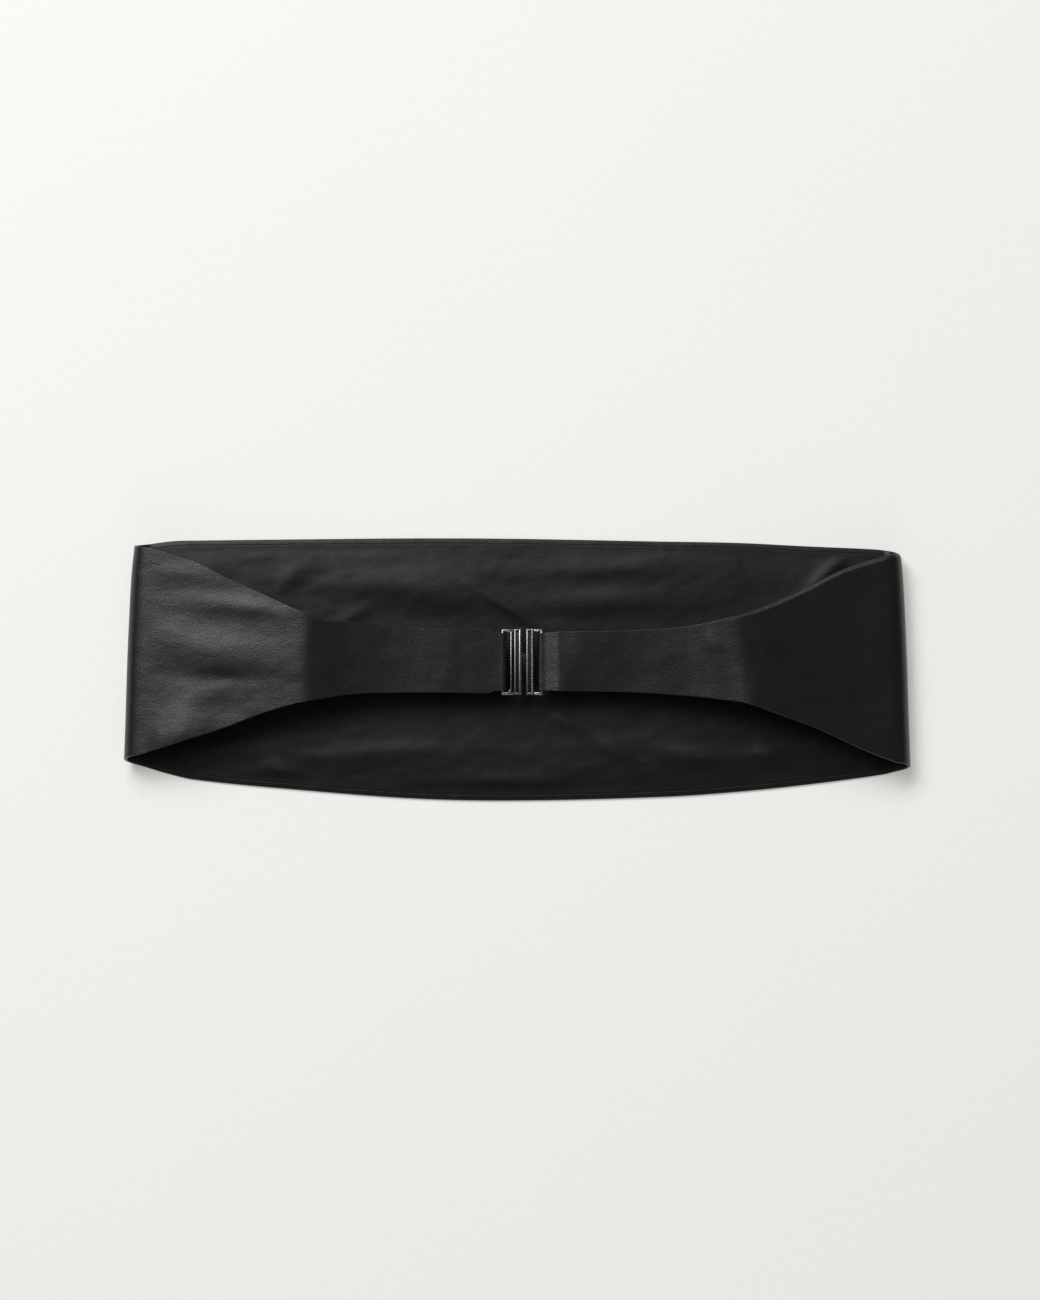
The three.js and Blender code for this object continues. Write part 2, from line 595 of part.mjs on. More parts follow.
function buildCloth() {
  const cloth = new THREE.Group();
  const panel = join([frontPanelGeometry(), seamStripGeometry(-1), seamStripGeometry(1)].map(toSolid));
  cloth.add(piece("front_panel", fromSolid(panel), materials.satin));
  cloth.add(piece("panel_lining", liningGeometry(), materials.lining));
  const left = wingGeometry({
    rows: LEFT_WING_ROWS,
    folds: LEFT_WING_FOLDS,
    strap: STRAP_LEFT,
    bar: LEFT_BAR_REACH - CLASP_X,
    mirrored: true,
  });
  cloth.add(piece("left_wing", left, materials.satin));
  const right = wingGeometry({
    rows: RIGHT_WING_ROWS,
    folds: RIGHT_WING_FOLDS,
    strap: STRAP_RIGHT,
    bar: RIGHT_BAR_REACH + CLASP_X,
    mirrored: false,
  });
  cloth.add(piece("right_wing", right, materials.satin));
  return cloth;
}

function buildClasp() {
  const clasp = new THREE.Group();
  clasp.add(piece("clasp_socket", claspSocketGeometry(), materials.nickel));
  clasp.add(piece("clasp_tongue", claspTongueGeometry(), materials.nickel));
  clasp.position.set(CLASP_X, 0, CLASP_AXIS);
  return clasp;
}

// The part's origin is the middle of its box, on the surface
const cummerbund = new THREE.Group();
const placed = new THREE.Group();
placed.add(buildCloth(), buildClasp());
cummerbund.add(placed);
const bounds = new THREE.Box3().setFromObject(placed);
const middle = bounds.getCenter(new THREE.Vector3());
placed.position.set(-middle.x, -middle.y, -bounds.min.z);

export default cummerbund;
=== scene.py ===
"""A black satin cummerbund, folded flat with its back clasp fastened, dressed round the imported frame."""

from __future__ import annotations

import logging
import math
from collections.abc import Callable, Sequence
from dataclasses import dataclass, field, replace
from enum import Enum

import bmesh
import bpy
from mathutils import Matrix, Vector, noise

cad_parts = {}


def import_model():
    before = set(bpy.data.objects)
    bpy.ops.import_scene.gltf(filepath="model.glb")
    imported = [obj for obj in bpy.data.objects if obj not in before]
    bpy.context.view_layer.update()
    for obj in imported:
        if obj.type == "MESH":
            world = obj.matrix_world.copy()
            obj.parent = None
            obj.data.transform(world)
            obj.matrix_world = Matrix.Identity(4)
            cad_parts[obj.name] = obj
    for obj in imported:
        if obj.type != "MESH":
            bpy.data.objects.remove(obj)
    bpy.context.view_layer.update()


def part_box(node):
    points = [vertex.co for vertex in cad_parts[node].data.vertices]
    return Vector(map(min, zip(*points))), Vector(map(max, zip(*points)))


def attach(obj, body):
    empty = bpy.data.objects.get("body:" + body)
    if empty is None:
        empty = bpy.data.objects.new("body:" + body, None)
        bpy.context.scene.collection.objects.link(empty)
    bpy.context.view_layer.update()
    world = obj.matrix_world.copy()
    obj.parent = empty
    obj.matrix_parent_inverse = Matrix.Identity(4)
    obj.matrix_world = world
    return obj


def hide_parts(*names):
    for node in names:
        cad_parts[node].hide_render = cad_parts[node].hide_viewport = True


LOG = logging.getLogger("cummerbund")
MM = 0.001
BODY = "root"
UV_NAME = "cloth"
SHADED_HOLLOW_NAME = "shaded_hollow"
# Vertex layer that marks the clasp's hollows, which the nickel finish paints near black as painted shade.
FOLD_LIMIT = 12
MERGE_DISTANCE = 1e-7


class Side(Enum):
    """The two halves of the band, as the sign of their X."""

    LEFT = -1
    RIGHT = 1


class Slot(Enum):
    """The record's material slots."""

    SATIN = "satin"
    LINING = "lining"
    METAL = "clasp_metal"


def blend(a: float, b: float, share: float) -> float:
    """The value a given share of the way from a to b."""
    return a + (b - a) * share


def fade(value: float, start: float, end: float) -> float:
    """Rises smoothly from 0 at start to 1 at end."""
    share = min(1.0, max(0.0, (value - start) / (end - start)))
    return share * share * (3 - 2 * share)


def crowd(share: float, strength: float = 0.9) -> float:
    """Moves shares between 0 and 1 towards both ends, for narrow faces beside an edge."""
    return blend(share, fade(share, 0, 1), strength)


# Tables of the cloth


@dataclass(frozen=True)
class EdgeRow:
    """One section of the panel's outline.

    Args:
        along: Share of half the panel's length, from its middle, left is minus.
        lower: Share of the reach down to the lower edge.
        upper: Share of the reach up to the upper edge.
    """

    along: float
    lower: float
    upper: float


@dataclass(frozen=True)
class WingRow:
    """One section of a wing.

    Args:
        along: Share of the way from the shoulder to the bar.
        lower: Lower edge, 0 at the strap's width and 1 at the shoulder's.
        upper: Upper edge, in the same way.
        lift: Share of the ridge's height.
    """

    along: float
    lower: float
    upper: float
    lift: float


@dataclass(frozen=True)
class FlareRow:
    """How far out a side fold lies at one height on the band.

    Args:
        along: Share of the upper reach above the strap's centre line.
        out: Share of the flare outside the half width.
    """

    along: float
    out: float


@dataclass(frozen=True)
class Fold:
    """One soft fold, as a long mound or dent.

    Args:
        x: Share of the half width.
        y: Share of the upper reach, down is minus.
        turn: Degrees from the X axis.
        length: Half length, share of the upper reach.
        width: Half width, share of the upper reach.
        height: Share of the cloth's tallest fold, minus for a dent.
    """

    x: float
    y: float
    turn: float
    length: float
    width: float
    height: float


@dataclass(frozen=True)
class Ripple:
    """Small smooth unevenness of a cloth.

    Args:
        size: Size of its waves across the cloth, millimetres.
        height: Their height, millimetres.
        draw: Their size across as a share of that along the cloth.
        seed: Sets this pattern apart from the others.
    """

    size: float
    height: float
    draw: float
    seed: float

    def at(self, along: float, across: float, shift: float = 0.0) -> float:
        """Height at one place, in the pattern that is that far from its own."""
        place = (along * self.draw / self.size, across / self.size, self.seed + shift)
        return self.height * noise.noise(Vector(place))


PANEL_ROWS = (
    EdgeRow(-1, 0.69, 0.896),
    EdgeRow(-0.957, 0.709, 0.926),
    EdgeRow(-0.9, 0.743, 0.955),
    EdgeRow(-0.84, 0.797, 0.979),
    EdgeRow(-0.77, 0.846, 0.983),
    EdgeRow(-0.53, 0.919, 0.992),
    EdgeRow(-0.24, 0.986, 1),
    EdgeRow(0, 1, 0.996),
    EdgeRow(0.35, 0.973, 0.975),
    EdgeRow(0.54, 0.932, 0.964),
    EdgeRow(0.71, 0.876, 0.937),
    EdgeRow(0.87, 0.81, 0.914),
    EdgeRow(0.91, 0.783, 0.9),
    EdgeRow(0.957, 0.762, 0.864),
    EdgeRow(1, 0.744, 0.846),
)
FLARE_ROWS = (
    FlareRow(-1.1, 0.42),
    FlareRow(-0.76, 0.36),
    FlareRow(-0.45, 0.25),
    FlareRow(0, 0.12),
    FlareRow(0.34, -0.05),
    FlareRow(0.64, -0.25),
    FlareRow(0.81, -0.47),
    FlareRow(0.9, -0.64),
    FlareRow(1, -0.76),
)
LEFT_WING_ROWS = (
    WingRow(0, 1, 1, 0),
    WingRow(0.02, 0.979, 0.99, 0.1),
    WingRow(0.1, 0.843, 0.886, 0.226),
    WingRow(0.17, 0.715, 0.78, 0.36),
    WingRow(0.25, 0.563, 0.597, 0.51),
    WingRow(0.34, 0.358, 0.423, 0.72),
    WingRow(0.42, 0.216, 0.253, 0.93),
    WingRow(0.465, 0.155, 0.168, 1),
    WingRow(0.5, 0.115, 0.09, 0.9),
    WingRow(0.6, 0.015, 0.078, 0.505),
    WingRow(0.72, -0.015, 0.035, 0.2),
    WingRow(0.85, -0.018, -0.004, 0.045),
    WingRow(1, 0, 0, 0),
)
RIGHT_WING_ROWS = (
    WingRow(0, 1, 1, 0),
    WingRow(0.02, 0.988, 0.975, 0.1),
    WingRow(0.11, 0.819, 0.85, 0.25),
    WingRow(0.17, 0.681, 0.745, 0.38),
    WingRow(0.25, 0.506, 0.56, 0.56),
    WingRow(0.34, 0.347, 0.37, 0.8),
    WingRow(0.425, 0.202, 0.219, 1),
    WingRow(0.5, 0.135, 0.128, 0.84),
    WingRow(0.6, 0.069, 0.052, 0.48),
    WingRow(0.72, 0.022, 0.018, 0.17),
    WingRow(0.85, 0, 0.005, 0.03),
    WingRow(1, 0, 0, 0),
)
LINING_FOLDS = (
    Fold(-0.03, 0.46, -33, 0.36, 0.05, 0.65),
    Fold(-0.22, 0.58, -8, 0.45, 0.14, 0.9),
    Fold(0.24, 0.5, 3, 0.6, 0.1, 0.6),
    Fold(0.26, 0.76, 2, 0.5, 0.08, 0.4),
    Fold(0.8, 0.7, 44, 0.27, 0.06, 0.6),
    Fold(0.64, 0.8, -65, 0.22, 0.12, -0.5),
    Fold(-0.43, 0.37, 28, 0.13, 0.05, 0.3),
    Fold(-0.59, 0.68, 40, 0.14, 0.08, 0.36),
    Fold(-0.38, 0.62, 2, 0.35, 0.12, 0.4),
    Fold(0.13, -0.46, -28, 0.17, 0.05, 0.4),
    Fold(0.25, -0.66, -30, 0.17, 0.07, 0.5),
    Fold(0.43, -0.7, -12, 0.25, 0.07, 0.55),
    Fold(0.64, -0.7, -20, 0.15, 0.08, 0.5),
    Fold(-0.34, -0.68, 2, 0.55, 0.08, 0.45),
    Fold(-0.6, -0.82, -25, 0.12, 0.06, 0.4),
    Fold(-0.88, -0.76, -20, 0.12, 0.06, 0.3),
    Fold(-0.05, -0.9, 0, 0.5, 0.07, 0.35),
)
LEFT_WING_FOLDS = (
    Fold(0.86, 0.68, 10, 0.28, 0.08, 0.3),
    Fold(0.73, 0.42, 7, 0.38, 0.08, 0.55),
    Fold(0.79, 0.09, 12, 0.55, 0.16, 0.85),
    Fold(0.75, -0.13, 2, 0.36, 0.055, -0.32),
    Fold(0.78, -0.38, -20, 0.24, 0.11, -0.35),
    Fold(0.86, -0.56, -42, 0.3, 0.17, 1.25),
    Fold(0.81, -0.5, 75, 0.5, 0.26, 0.5),
    Fold(0.2, 0.0, 90, 0.8, 0.34, 0.42),
)
RIGHT_WING_FOLDS = (
    Fold(0.497, 0.16, -68, 0.24, 0.085, 0.3),
    Fold(0.43, 0.0, -88, 1.2, 0.2, -0.25),
    Fold(0.565, -0.02, -87, 1.0, 0.09, 0.3),
    Fold(0.63, 0.15, -60, 0.2, 0.07, 0.16),
    Fold(0.84, -0.35, -20, 0.35, 0.14, -0.25),
)
PANEL_RIPPLE = Ripple(16, 0.12, 1, 3)
LINING_RIPPLES = (Ripple(9, 0.22, 0.4, 8), Ripple(4, 0.088, 0.5, 21))
WING_RIPPLES = (Ripple(24, 0.25, 1, 40), Ripple(7, 0.06, 1, 45))

# Where things come and go along a wing, as shares of the way from its shoulder to the bar
FOLDS_RISE = (0.01, 0.08)
FOLDS_DROP = (0.85, 0.95)
TIP_RISE = (0.4, 0.5)
TIP_DROP = (0.88, 0.95)
ROLL_DROP = (0.36, 0.5)
WALL_DROP = (0.94, 0.985)


def read_row(rows: Sequence[EdgeRow | WingRow | FlareRow], key: str, along: float) -> float:
    """Reads a table at a place between its rows.

    Args:
        rows: The table, in order of along.
        key: The column to read.
        along: The place, in the table's own shares.

    Returns:
        The column's value on a smooth curve through the rows.
    """
    last = len(rows) - 2
    index = next((i for i in range(last + 1) if along <= rows[i + 1].along), last)
    a, b = rows[index], rows[index + 1]
    before, after = rows[max(0, index - 1)], rows[min(len(rows) - 1, index + 2)]
    span = b.along - a.along
    start, end = getattr(a, key), getattr(b, key)
    slope_start = (end - getattr(before, key)) / (b.along - before.along) * span
    slope_end = (getattr(after, key) - start) / (after.along - a.along) * span
    s = (along - a.along) / span
    s2, s3 = s * s, s * s * s
    rise, run_in, run_out = 3 * s2 - 2 * s3, s3 - 2 * s2 + s, s3 - s2
    return (1 - rise) * start + rise * end + run_in * slope_start + run_out * slope_end


@dataclass(frozen=True)
class Station:
    """One section of a cloth across its way.

    Args:
        x: Place of the outer face, millimetres.
        z: Height of the outer face.
        into: Unit vector from the outer face into the cloth, as X and Z.
        lower: Distance of the lower edge from the strap's centre line.
        upper: Distance of the upper edge from that line.
        way: Distance from the first station, along the cloth.
        along: Share of the cloth's own table.
    """

    x: float
    z: float
    into: tuple[float, float]
    lower: float
    upper: float
    way: float
    along: float


@dataclass
class Band:
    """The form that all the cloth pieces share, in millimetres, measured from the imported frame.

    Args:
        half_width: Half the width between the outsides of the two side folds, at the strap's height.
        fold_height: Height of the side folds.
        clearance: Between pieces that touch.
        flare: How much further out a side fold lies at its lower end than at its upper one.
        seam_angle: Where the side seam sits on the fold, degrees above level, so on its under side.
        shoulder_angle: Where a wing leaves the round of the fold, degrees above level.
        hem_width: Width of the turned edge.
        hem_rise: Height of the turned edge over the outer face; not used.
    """

    half_width: float = 178
    fold_height: float = 15
    clearance: float = 0.3
    flare: float = 3.3
    seam_angle: float = -35
    shoulder_angle: float = 62
    hem_width: float = 2.3
    hem_rise: float = 2.5
    centre: Vector = field(init=False)
    clasp_length: float = field(init=False)
    depth: float = field(init=False)
    lower_reach: float = field(init=False)
    upper_reach: float = field(init=False)
    fold_radius: float = field(init=False)
    fold_centre: float = field(init=False)
    panel_run: float = field(init=False)
    band_run: float = field(init=False)

    def __post_init__(self) -> None:
        """Takes the main sizes from the frame's boxes."""
        low, high = (Vector(corner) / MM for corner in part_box("front_panel"))
        clasp_low, clasp_high = (Vector(corner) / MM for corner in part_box("clasp_socket"))
        self.centre = Vector(((low.x + high.x) / 2, (clasp_low.y + clasp_high.y) / 2, 0))
        self.clasp_length = clasp_high.y - clasp_low.y
        self.depth = high.y - low.y
        self.lower_reach = self.centre.y - low.y
        self.upper_reach = high.y - self.centre.y
        self.fold_radius = self.fold_height / 2
        self.fold_centre = self.half_width - self.fold_radius
        self.panel_run = self.fold_centre + self.fold_radius * math.radians(90 + self.seam_angle)
        self.band_run = self.fold_centre + self.fold_radius * math.radians(90 + self.shoulder_angle)

    def spread(self, x: float, y: float) -> float:
        """X after the bow of the side folds, y measured from the strap's centre line."""
        return x * (1 + self.flare / self.half_width * read_row(FLARE_ROWS, "out", y / self.upper_reach))

    def place(self, x: float, y: float, z: float, side: Side = Side.RIGHT) -> Vector:
        """A point of the cloth in the frame, metres.

        Args:
            x: From the panel's middle, outwards on that side.
            y: From the strap's centre line.
            z: Height.
            side: The half of the band that it lies on.

        Returns:
            The point in metres.
        """
        return (self.centre + Vector((side.value * self.spread(x, y), y, z))) * MM

    def relief(self, folds: Sequence[Fold], tallest: float, x: float, y: float) -> float:
        """Height of all the soft folds at one place, millimetres."""
        total = 0.0
        for fold in folds:
            turn = math.radians(fold.turn)
            dx, dy = x - fold.x * self.half_width, y - fold.y * self.upper_reach
            along = (dx * math.cos(turn) + dy * math.sin(turn)) / (fold.length * self.upper_reach)
            across = (dy * math.cos(turn) - dx * math.sin(turn)) / (fold.width * self.upper_reach)
            reach = along * along + across * across
            if reach < FOLD_LIMIT:
                total += fold.height * tallest * math.exp(-reach)
        return total

    def station(self, way: float) -> Station:
        """The section of the band at a distance from the panel's middle, along the cloth."""
        side = 1 if way >= 0 else -1
        reach = abs(way)
        along = max(-1.0, min(1.0, way / self.band_run))
        lower = read_row(PANEL_ROWS, "lower", along) * self.lower_reach
        upper = read_row(PANEL_ROWS, "upper", along) * self.upper_reach
        if reach <= self.fold_centre:
            return Station(way, 0, (0, 1), lower, upper, way, along)
        turn = (reach - self.fold_centre) / self.fold_radius - math.pi / 2
        x = side * (self.fold_centre + self.fold_radius * math.cos(turn))
        z = self.fold_radius + self.fold_radius * math.sin(turn)
        return Station(x, z, (-side * math.cos(turn), -math.sin(turn)), lower, upper, way, along)


# Making of meshes


def finish_mesh(name: str, bm: bmesh.types.BMesh, smooth: bool = True) -> bpy.types.Object:
    """Turns a bmesh into an object of the scene, at the origin.

    Args:
        name: The object's name.
        bm: The mesh, in metres, which is freed.
        smooth: Whether its faces are shaded smooth.

    Returns:
        The new object.
    """
    mesh = bpy.data.meshes.new(name)
    bm.to_mesh(mesh)
    bm.free()
    if smooth:
        mesh.shade_smooth()
    obj = bpy.data.objects.new(name, mesh)
    bpy.context.scene.collection.objects.link(obj)
    return obj


@dataclass(frozen=True)
class ClothGrid:
    """A sheet that starts as a flat grid and is laid into its form.

    Args:
        name: The object's name.
        along: Faces along the cloth.
        across: Faces across it.
        lay: Gives the place of a point from its shares along and across.
        cut: Gives the flat place of a point from the same shares, metres.
        closed: Whether the two long sides meet, as in a flattened tube.
    """

    name: str
    along: int
    across: int
    lay: Callable[[float, float], Vector]
    cut: Callable[[float, float], tuple[float, float]]
    closed: bool = False

    def build(self) -> bpy.types.Object:
        """Makes the sheet with its UV map.

        Returns:
            The laid cloth.
        """
        bm = bmesh.new()
        bmesh.ops.create_grid(bm, x_segments=self.along, y_segments=self.across, size=0.5)
        uv = bm.loops.layers.uv.new(UV_NAME)
        for face in bm.faces:
            for loop in face.loops:
                loop[uv].uv = self.cut(loop.vert.co.x + 0.5, loop.vert.co.y + 0.5)
        for vert in bm.verts:
            vert.co = self.lay(vert.co.x + 0.5, vert.co.y + 0.5)
        if self.closed:
            bmesh.ops.remove_doubles(bm, verts=bm.verts, dist=MERGE_DISTANCE)
            bmesh.ops.holes_fill(bm, edges=[edge for edge in bm.edges if edge.is_boundary], sides=0)
            bmesh.ops.recalc_face_normals(bm, faces=bm.faces)
        return finish_mesh(self.name, bm)


def thicken(obj: bpy.types.Object, wall: float, offset: float) -> None:
    """Gives a sheet its wall.

    Args:
        obj: The sheet.
        wall: Thickness in metres.
        offset: -1 grows it against the normals, 1 along them.
    """
    solid = obj.modifiers.new("Wall", "SOLIDIFY")
    solid.thickness = wall
    solid.offset = offset
    solid.use_even_offset = True


@dataclass
class FrontPanel:
    """The wide outer cloth of the front, with its long edges turned over.

    Args:
        band: The shared form.
        wall: Wall of the cloth as it shows at the edges.
        ease: Height over the surface in the middle of its waves.
        ease_width: Distance from the outline where the waves begin and where they are full.
        hem_share: Share of the mesh's rows given to each turned edge.
        hem_flat: Share of those rows on the edge's flat part.
        hem_height: Height of the pressed turned edge.
        press: How far that edge rounds in from the outline.
        upper_slope: How far the upper turned edge slopes down outwards.
        lower_slope: How far the lower turned edge slopes down outwards.
        flat_share: Share of the way to the side fold where the cloth still has its waves.
        along: Faces along the cloth.
        across: Faces across it.
    """

    band: Band
    wall: float = 0.6
    ease: float = 0.12
    ease_width: tuple[float, float] = (2, 14)
    hem_share: float = 0.1
    hem_flat: float = 0.25
    hem_height: float = 1.5
    press: float = 0.4
    upper_slope: float = 0.08
    lower_slope: float = 0.3
    flat_share: float = 0.97
    along: int = 300
    across: int = 84

    def section(self, width: float, share: float) -> tuple[float, float]:
        """Place across the cloth and depth into it of a point of the section.

        Args:
            width: Distance between the two long edges.
            share: From the lower turned edge's end, 0, to the upper one's, 1.

        Returns:
            The place from the lower edge and the depth, millimetres.
        """
        half = min(share, 1 - share)
        slope = self.lower_slope if share < 0.5 else self.upper_slope
        radius = (self.hem_height - slope) / 2
        if half >= self.hem_share:
            middle = (share - self.hem_share) / (1 - 2 * self.hem_share)
            return blend(self.press, width - self.press, middle), 0.0
        part = half / self.hem_share
        if part < self.hem_flat:
            out = (part / self.hem_flat) ** 3
            place = blend(self.band.hem_width, self.press, out)
            depth = self.hem_height - slope * out
        else:
            turn = math.pi * (part - self.hem_flat) / (1 - self.hem_flat)
            place = self.press - self.press * math.sin(turn)
            depth = radius + radius * math.cos(turn)
        return (place, depth) if share < 0.5 else (width - place, depth)

    def build(self) -> bpy.types.Object:
        """Makes the panel's outer cloth.

        Returns:
            The panel.
        """
        band = self.band
        stations = [band.station(band.panel_run * (2 * i / self.along - 1)) for i in range(self.along + 1)]

        def lay(s: float, t: float) -> Vector:
            """Lays one point of the cloth."""
            station = stations[round(s * self.along)]
            width = station.lower + station.upper
            across, depth = self.section(width, t)
            y = across - station.lower
            on_floor = 1 - fade(abs(station.x), band.fold_centre * self.flat_share, band.fold_centre)
            inside = fade(min(across, width - across), *self.ease_width) if depth == 0 else 0.0
            depth += inside * on_floor * (self.ease + PANEL_RIPPLE.at(station.way, y))
            x = station.x + station.into[0] * depth
            return band.place(x, y, station.z + station.into[1] * depth)

        def cut(s: float, t: float) -> tuple[float, float]:
            """The flat place of one point."""
            return band.panel_run * (2 * s - 1) * MM, band.depth * (t - 0.5) * MM

        panel = ClothGrid("front_panel_cloth", self.along, self.across, lay, cut).build()
        thicken(panel, self.wall * MM, 1)
        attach(panel, BODY)
        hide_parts("front_panel")
        return panel


@dataclass
class PanelLining:
    """The lining on the panel's inner face, set back from its turned edges.

    Args:
        band: The shared form.
        wall: Wall of the lining.
        tallest: Height of the tallest fold.
        ease: Height of the flat cloth between its folds.
        margin: From the lining's end to the side seam.
        top: Height of its upper face.
        edge_top: Height of that face beside the turned edges.
        edge_slope: Width over which the face comes down to them.
        calm_edge: Width beside them where the folds die out.
        roll: How far its sewn edge rolls down.
        roll_width: Width of that roll.
        tuck: How far that edge reaches over the turned cloth.
        flat_share: Share of the way to the side fold where the lining still has its folds.
        along: Faces along the lining.
        across: Faces across it.
    """

    band: Band
    wall: float = 0.7
    tallest: float = 1.6
    ease: float = 0.15
    margin: float = 3.0
    top: float = 2.5
    edge_top: float = 1.62
    edge_slope: float = 15
    calm_edge: float = 6
    roll: float = 0.1
    roll_width: float = 1.0
    tuck: float = -0.05
    flat_share: float = 0.93
    along: int = 320
    across: int = 116

    def build(self) -> bpy.types.Object:
        """Makes the lining.

        Returns:
            The lining.
        """
        band = self.band
        limit = band.panel_run - self.margin
        stations = [band.station(limit * (2 * i / self.along - 1)) for i in range(self.along + 1)]
        inset = band.hem_width - self.tuck

        def lay(s: float, t: float) -> Vector:
            """Lays one point of the lining's upper face."""
            station = stations[round(s * self.along)]
            width = station.lower + station.upper - 2 * inset
            across = crowd(t) * width
            y = across + inset - station.lower
            edge = min(across, width - across)
            flat = 1 - fade(abs(station.way), band.fold_centre * self.flat_share, band.fold_centre)
            height = band.relief(LINING_FOLDS, self.tallest, station.x, y)
            height += sum(row.at(station.way, y) for row in LINING_RIPPLES)
            height = max(0.0, height + self.ease) * fade(edge, 0, self.calm_edge) * flat
            rolled = self.roll * (1 - fade(edge, 0, self.roll_width))
            depth = blend(self.edge_top, self.top, fade(edge, 0, self.edge_slope)) + height - rolled
            x = station.x + station.into[0] * depth
            return band.place(x, y, station.z + station.into[1] * depth)

        def cut(s: float, t: float) -> tuple[float, float]:
            """The flat place of one point."""
            return limit * (2 * s - 1) * MM, (band.depth - 2 * inset) * (crowd(t) - 0.5) * MM

        lining = ClothGrid("lining_cloth", self.along, self.across, lay, cut).build()
        thicken(lining, self.wall * MM, -1)
        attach(lining, BODY)
        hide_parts("panel_lining")
        return lining


@dataclass
class BackWing:
    """One back wing: it tapers from the side seam to its strap, which turns round the clasp's bar.

    Args:
        band: The shared form.
        side: Which half of the band it is on.
        rows: Its outline and lift.
        folds: Its soft folds.
        strap: Width of the strap.
        bar: Distance of the clasp's bar from the panel's middle, on that side.
        wall: Wall of the wing.
        seam_gap: Between the wing and the panel at the side seam.
        round_steps: Sections round the side fold.
        turn_steps: Sections round the bar, and again on the tail.
        crowding: How much closer the sections lie near the bar.
        face_share: Share of the points round a section that lie on one face.
        edge_share: Share of them that lie on one edge.
        bar_size: Diameter of the clasp's bar.
        bar_height: Height of the bar's axis.
        turn_width: Width of the strap where it goes round the bar.
        tail: Length sewn back under the strap.
        ridge: Height of the ridge over the straight way.
        tallest: Height of the tallest fold.
        press: How far the pressed edge rounds in from the outline.
        turn_wall: Wall of the strap where it goes round the bar.
        turn_gap: Between the strap and the bar.
        swell: How far the strap rises over its straight way beside the clasp.
        swell_drop: Distances from the bar where that rise begins to fall and where it is gone.
        dip_start: Distance from the bar where the strap begins to rise from it.
        dip_end: Distance from the bar where it has risen to its way.
        strap_ease: Distance from the bar where the strap has its full width.
        edge_roll: How far the upper edge rolls down.
        roll_width: Width of that roll.
        tip: Slope of the strap down towards its lower edge.
        along: Faces along the wing.
        across: Faces round it.
    """

    band: Band
    side: Side
    rows: Sequence[WingRow]
    folds: Sequence[Fold]
    strap: float
    bar: float
    swell: float = 0.0
    swell_drop: tuple[float, float] = (9, 90)
    dip_start: float = 0.8
    dip_end: float = 16.0
    strap_ease: float = 8
    edge_roll: float = 0.0
    roll_width: float = 1.9
    tip: float = 0.0
    wall: float = 1.4
    press: float = 0.35
    turn_wall: float = 0.95
    turn_gap: float = 0.1
    seam_gap: float = 0.05
    round_steps: int = 32
    turn_steps: int = 30
    crowding: float = 1.5
    face_share: float = 0.43
    edge_share: float = 0.07
    bar_size: float = 1.6
    bar_height: float = 14
    turn_width: float = 26.6
    tail: float = 16
    ridge: float = 8.4
    tallest: float = 1.3
    along: int = 280
    across: int = 120

    @property
    def turn_radius(self) -> float:
        """Outside radius of the strap round the bar."""
        return self.bar_size / 2 + self.turn_gap + self.turn_wall

    def wall_at(self, station: Station) -> float:
        """Wall of the wing there, thinner where the strap goes round the bar."""
        return blend(self.wall, self.turn_wall, fade(station.along, *WALL_DROP))

    def round_stations(self) -> list[Station]:
        """The wing's sections round the side fold, from the seam to the shoulder."""
        band = self.band
        sections = []
        for i in range(self.round_steps):
            way = blend(band.panel_run + self.seam_gap, band.band_run, i / self.round_steps)
            made = band.station(self.side.value * way)
            into = (-abs(made.into[0]), made.into[1])
            sections.append(Station(abs(made.x), made.z, into, made.lower, made.upper, 0, 0))
        return sections

    def main_way(self) -> list[tuple[float, float, float, float, float]]:
        """The outer face from the shoulder to the bar, round it and back under the strap.

        Returns:
            Rows of x, z, lower edge, upper edge and share along.
        """
        shoulder = self.band.station(self.side.value * self.band.band_run)
        start_x, start_z = abs(shoulder.x), shoulder.z
        end_z = self.bar_height + self.bar_size / 2 + self.band.clearance + self.wall
        dip = end_z - self.bar_height - self.turn_radius

        def height(along: float) -> float:
            """Height of the outer face on the main stretch."""
            from_bar = (1 - along) * (start_x - self.bar)
            swollen = self.swell * (1 - fade(from_bar, *self.swell_drop))
            dipped = (dip + swollen) * (1 - fade(from_bar, self.dip_start, self.dip_end))
            straight = blend(start_z, end_z, along)
            return straight + self.ridge * read_row(self.rows, "lift", along) + swollen - dipped

        way = []
        main = self.along - self.round_steps - 2 * self.turn_steps
        for i in range(main + 1):
            along = 1 - (1 - i / main) ** self.crowding
            x = blend(start_x, self.bar, along)
            widened = fade(x - self.bar, self.bar_size, self.strap_ease)
            squeeze = (self.strap - self.turn_width) / 2 * (1 - widened)
            lower = blend(self.strap / 2, shoulder.lower, read_row(self.rows, "lower", along)) - squeeze
            upper = blend(self.strap / 2, shoulder.upper, read_row(self.rows, "upper", along)) - squeeze
            way.append((x, height(along), lower, upper, along))
        half = self.turn_width / 2
        for i in range(1, self.turn_steps + 1):
            turn = math.pi * i / self.turn_steps
            x = self.bar - self.turn_radius * math.sin(turn)
            way.append((x, self.bar_height + self.turn_radius * math.cos(turn), half, half, 1.0))
        layers = self.wall + self.turn_wall + self.band.clearance
        for i in range(1, self.turn_steps + 1):
            share = i / self.turn_steps
            x = self.bar + share * self.tail
            along = 1 - share * self.tail / (start_x - self.bar)
            z = blend(self.bar_height - self.turn_radius, height(along) - layers, fade(share, 0, 0.5))
            way.append((x, z, half, half, 1.0))
        return way

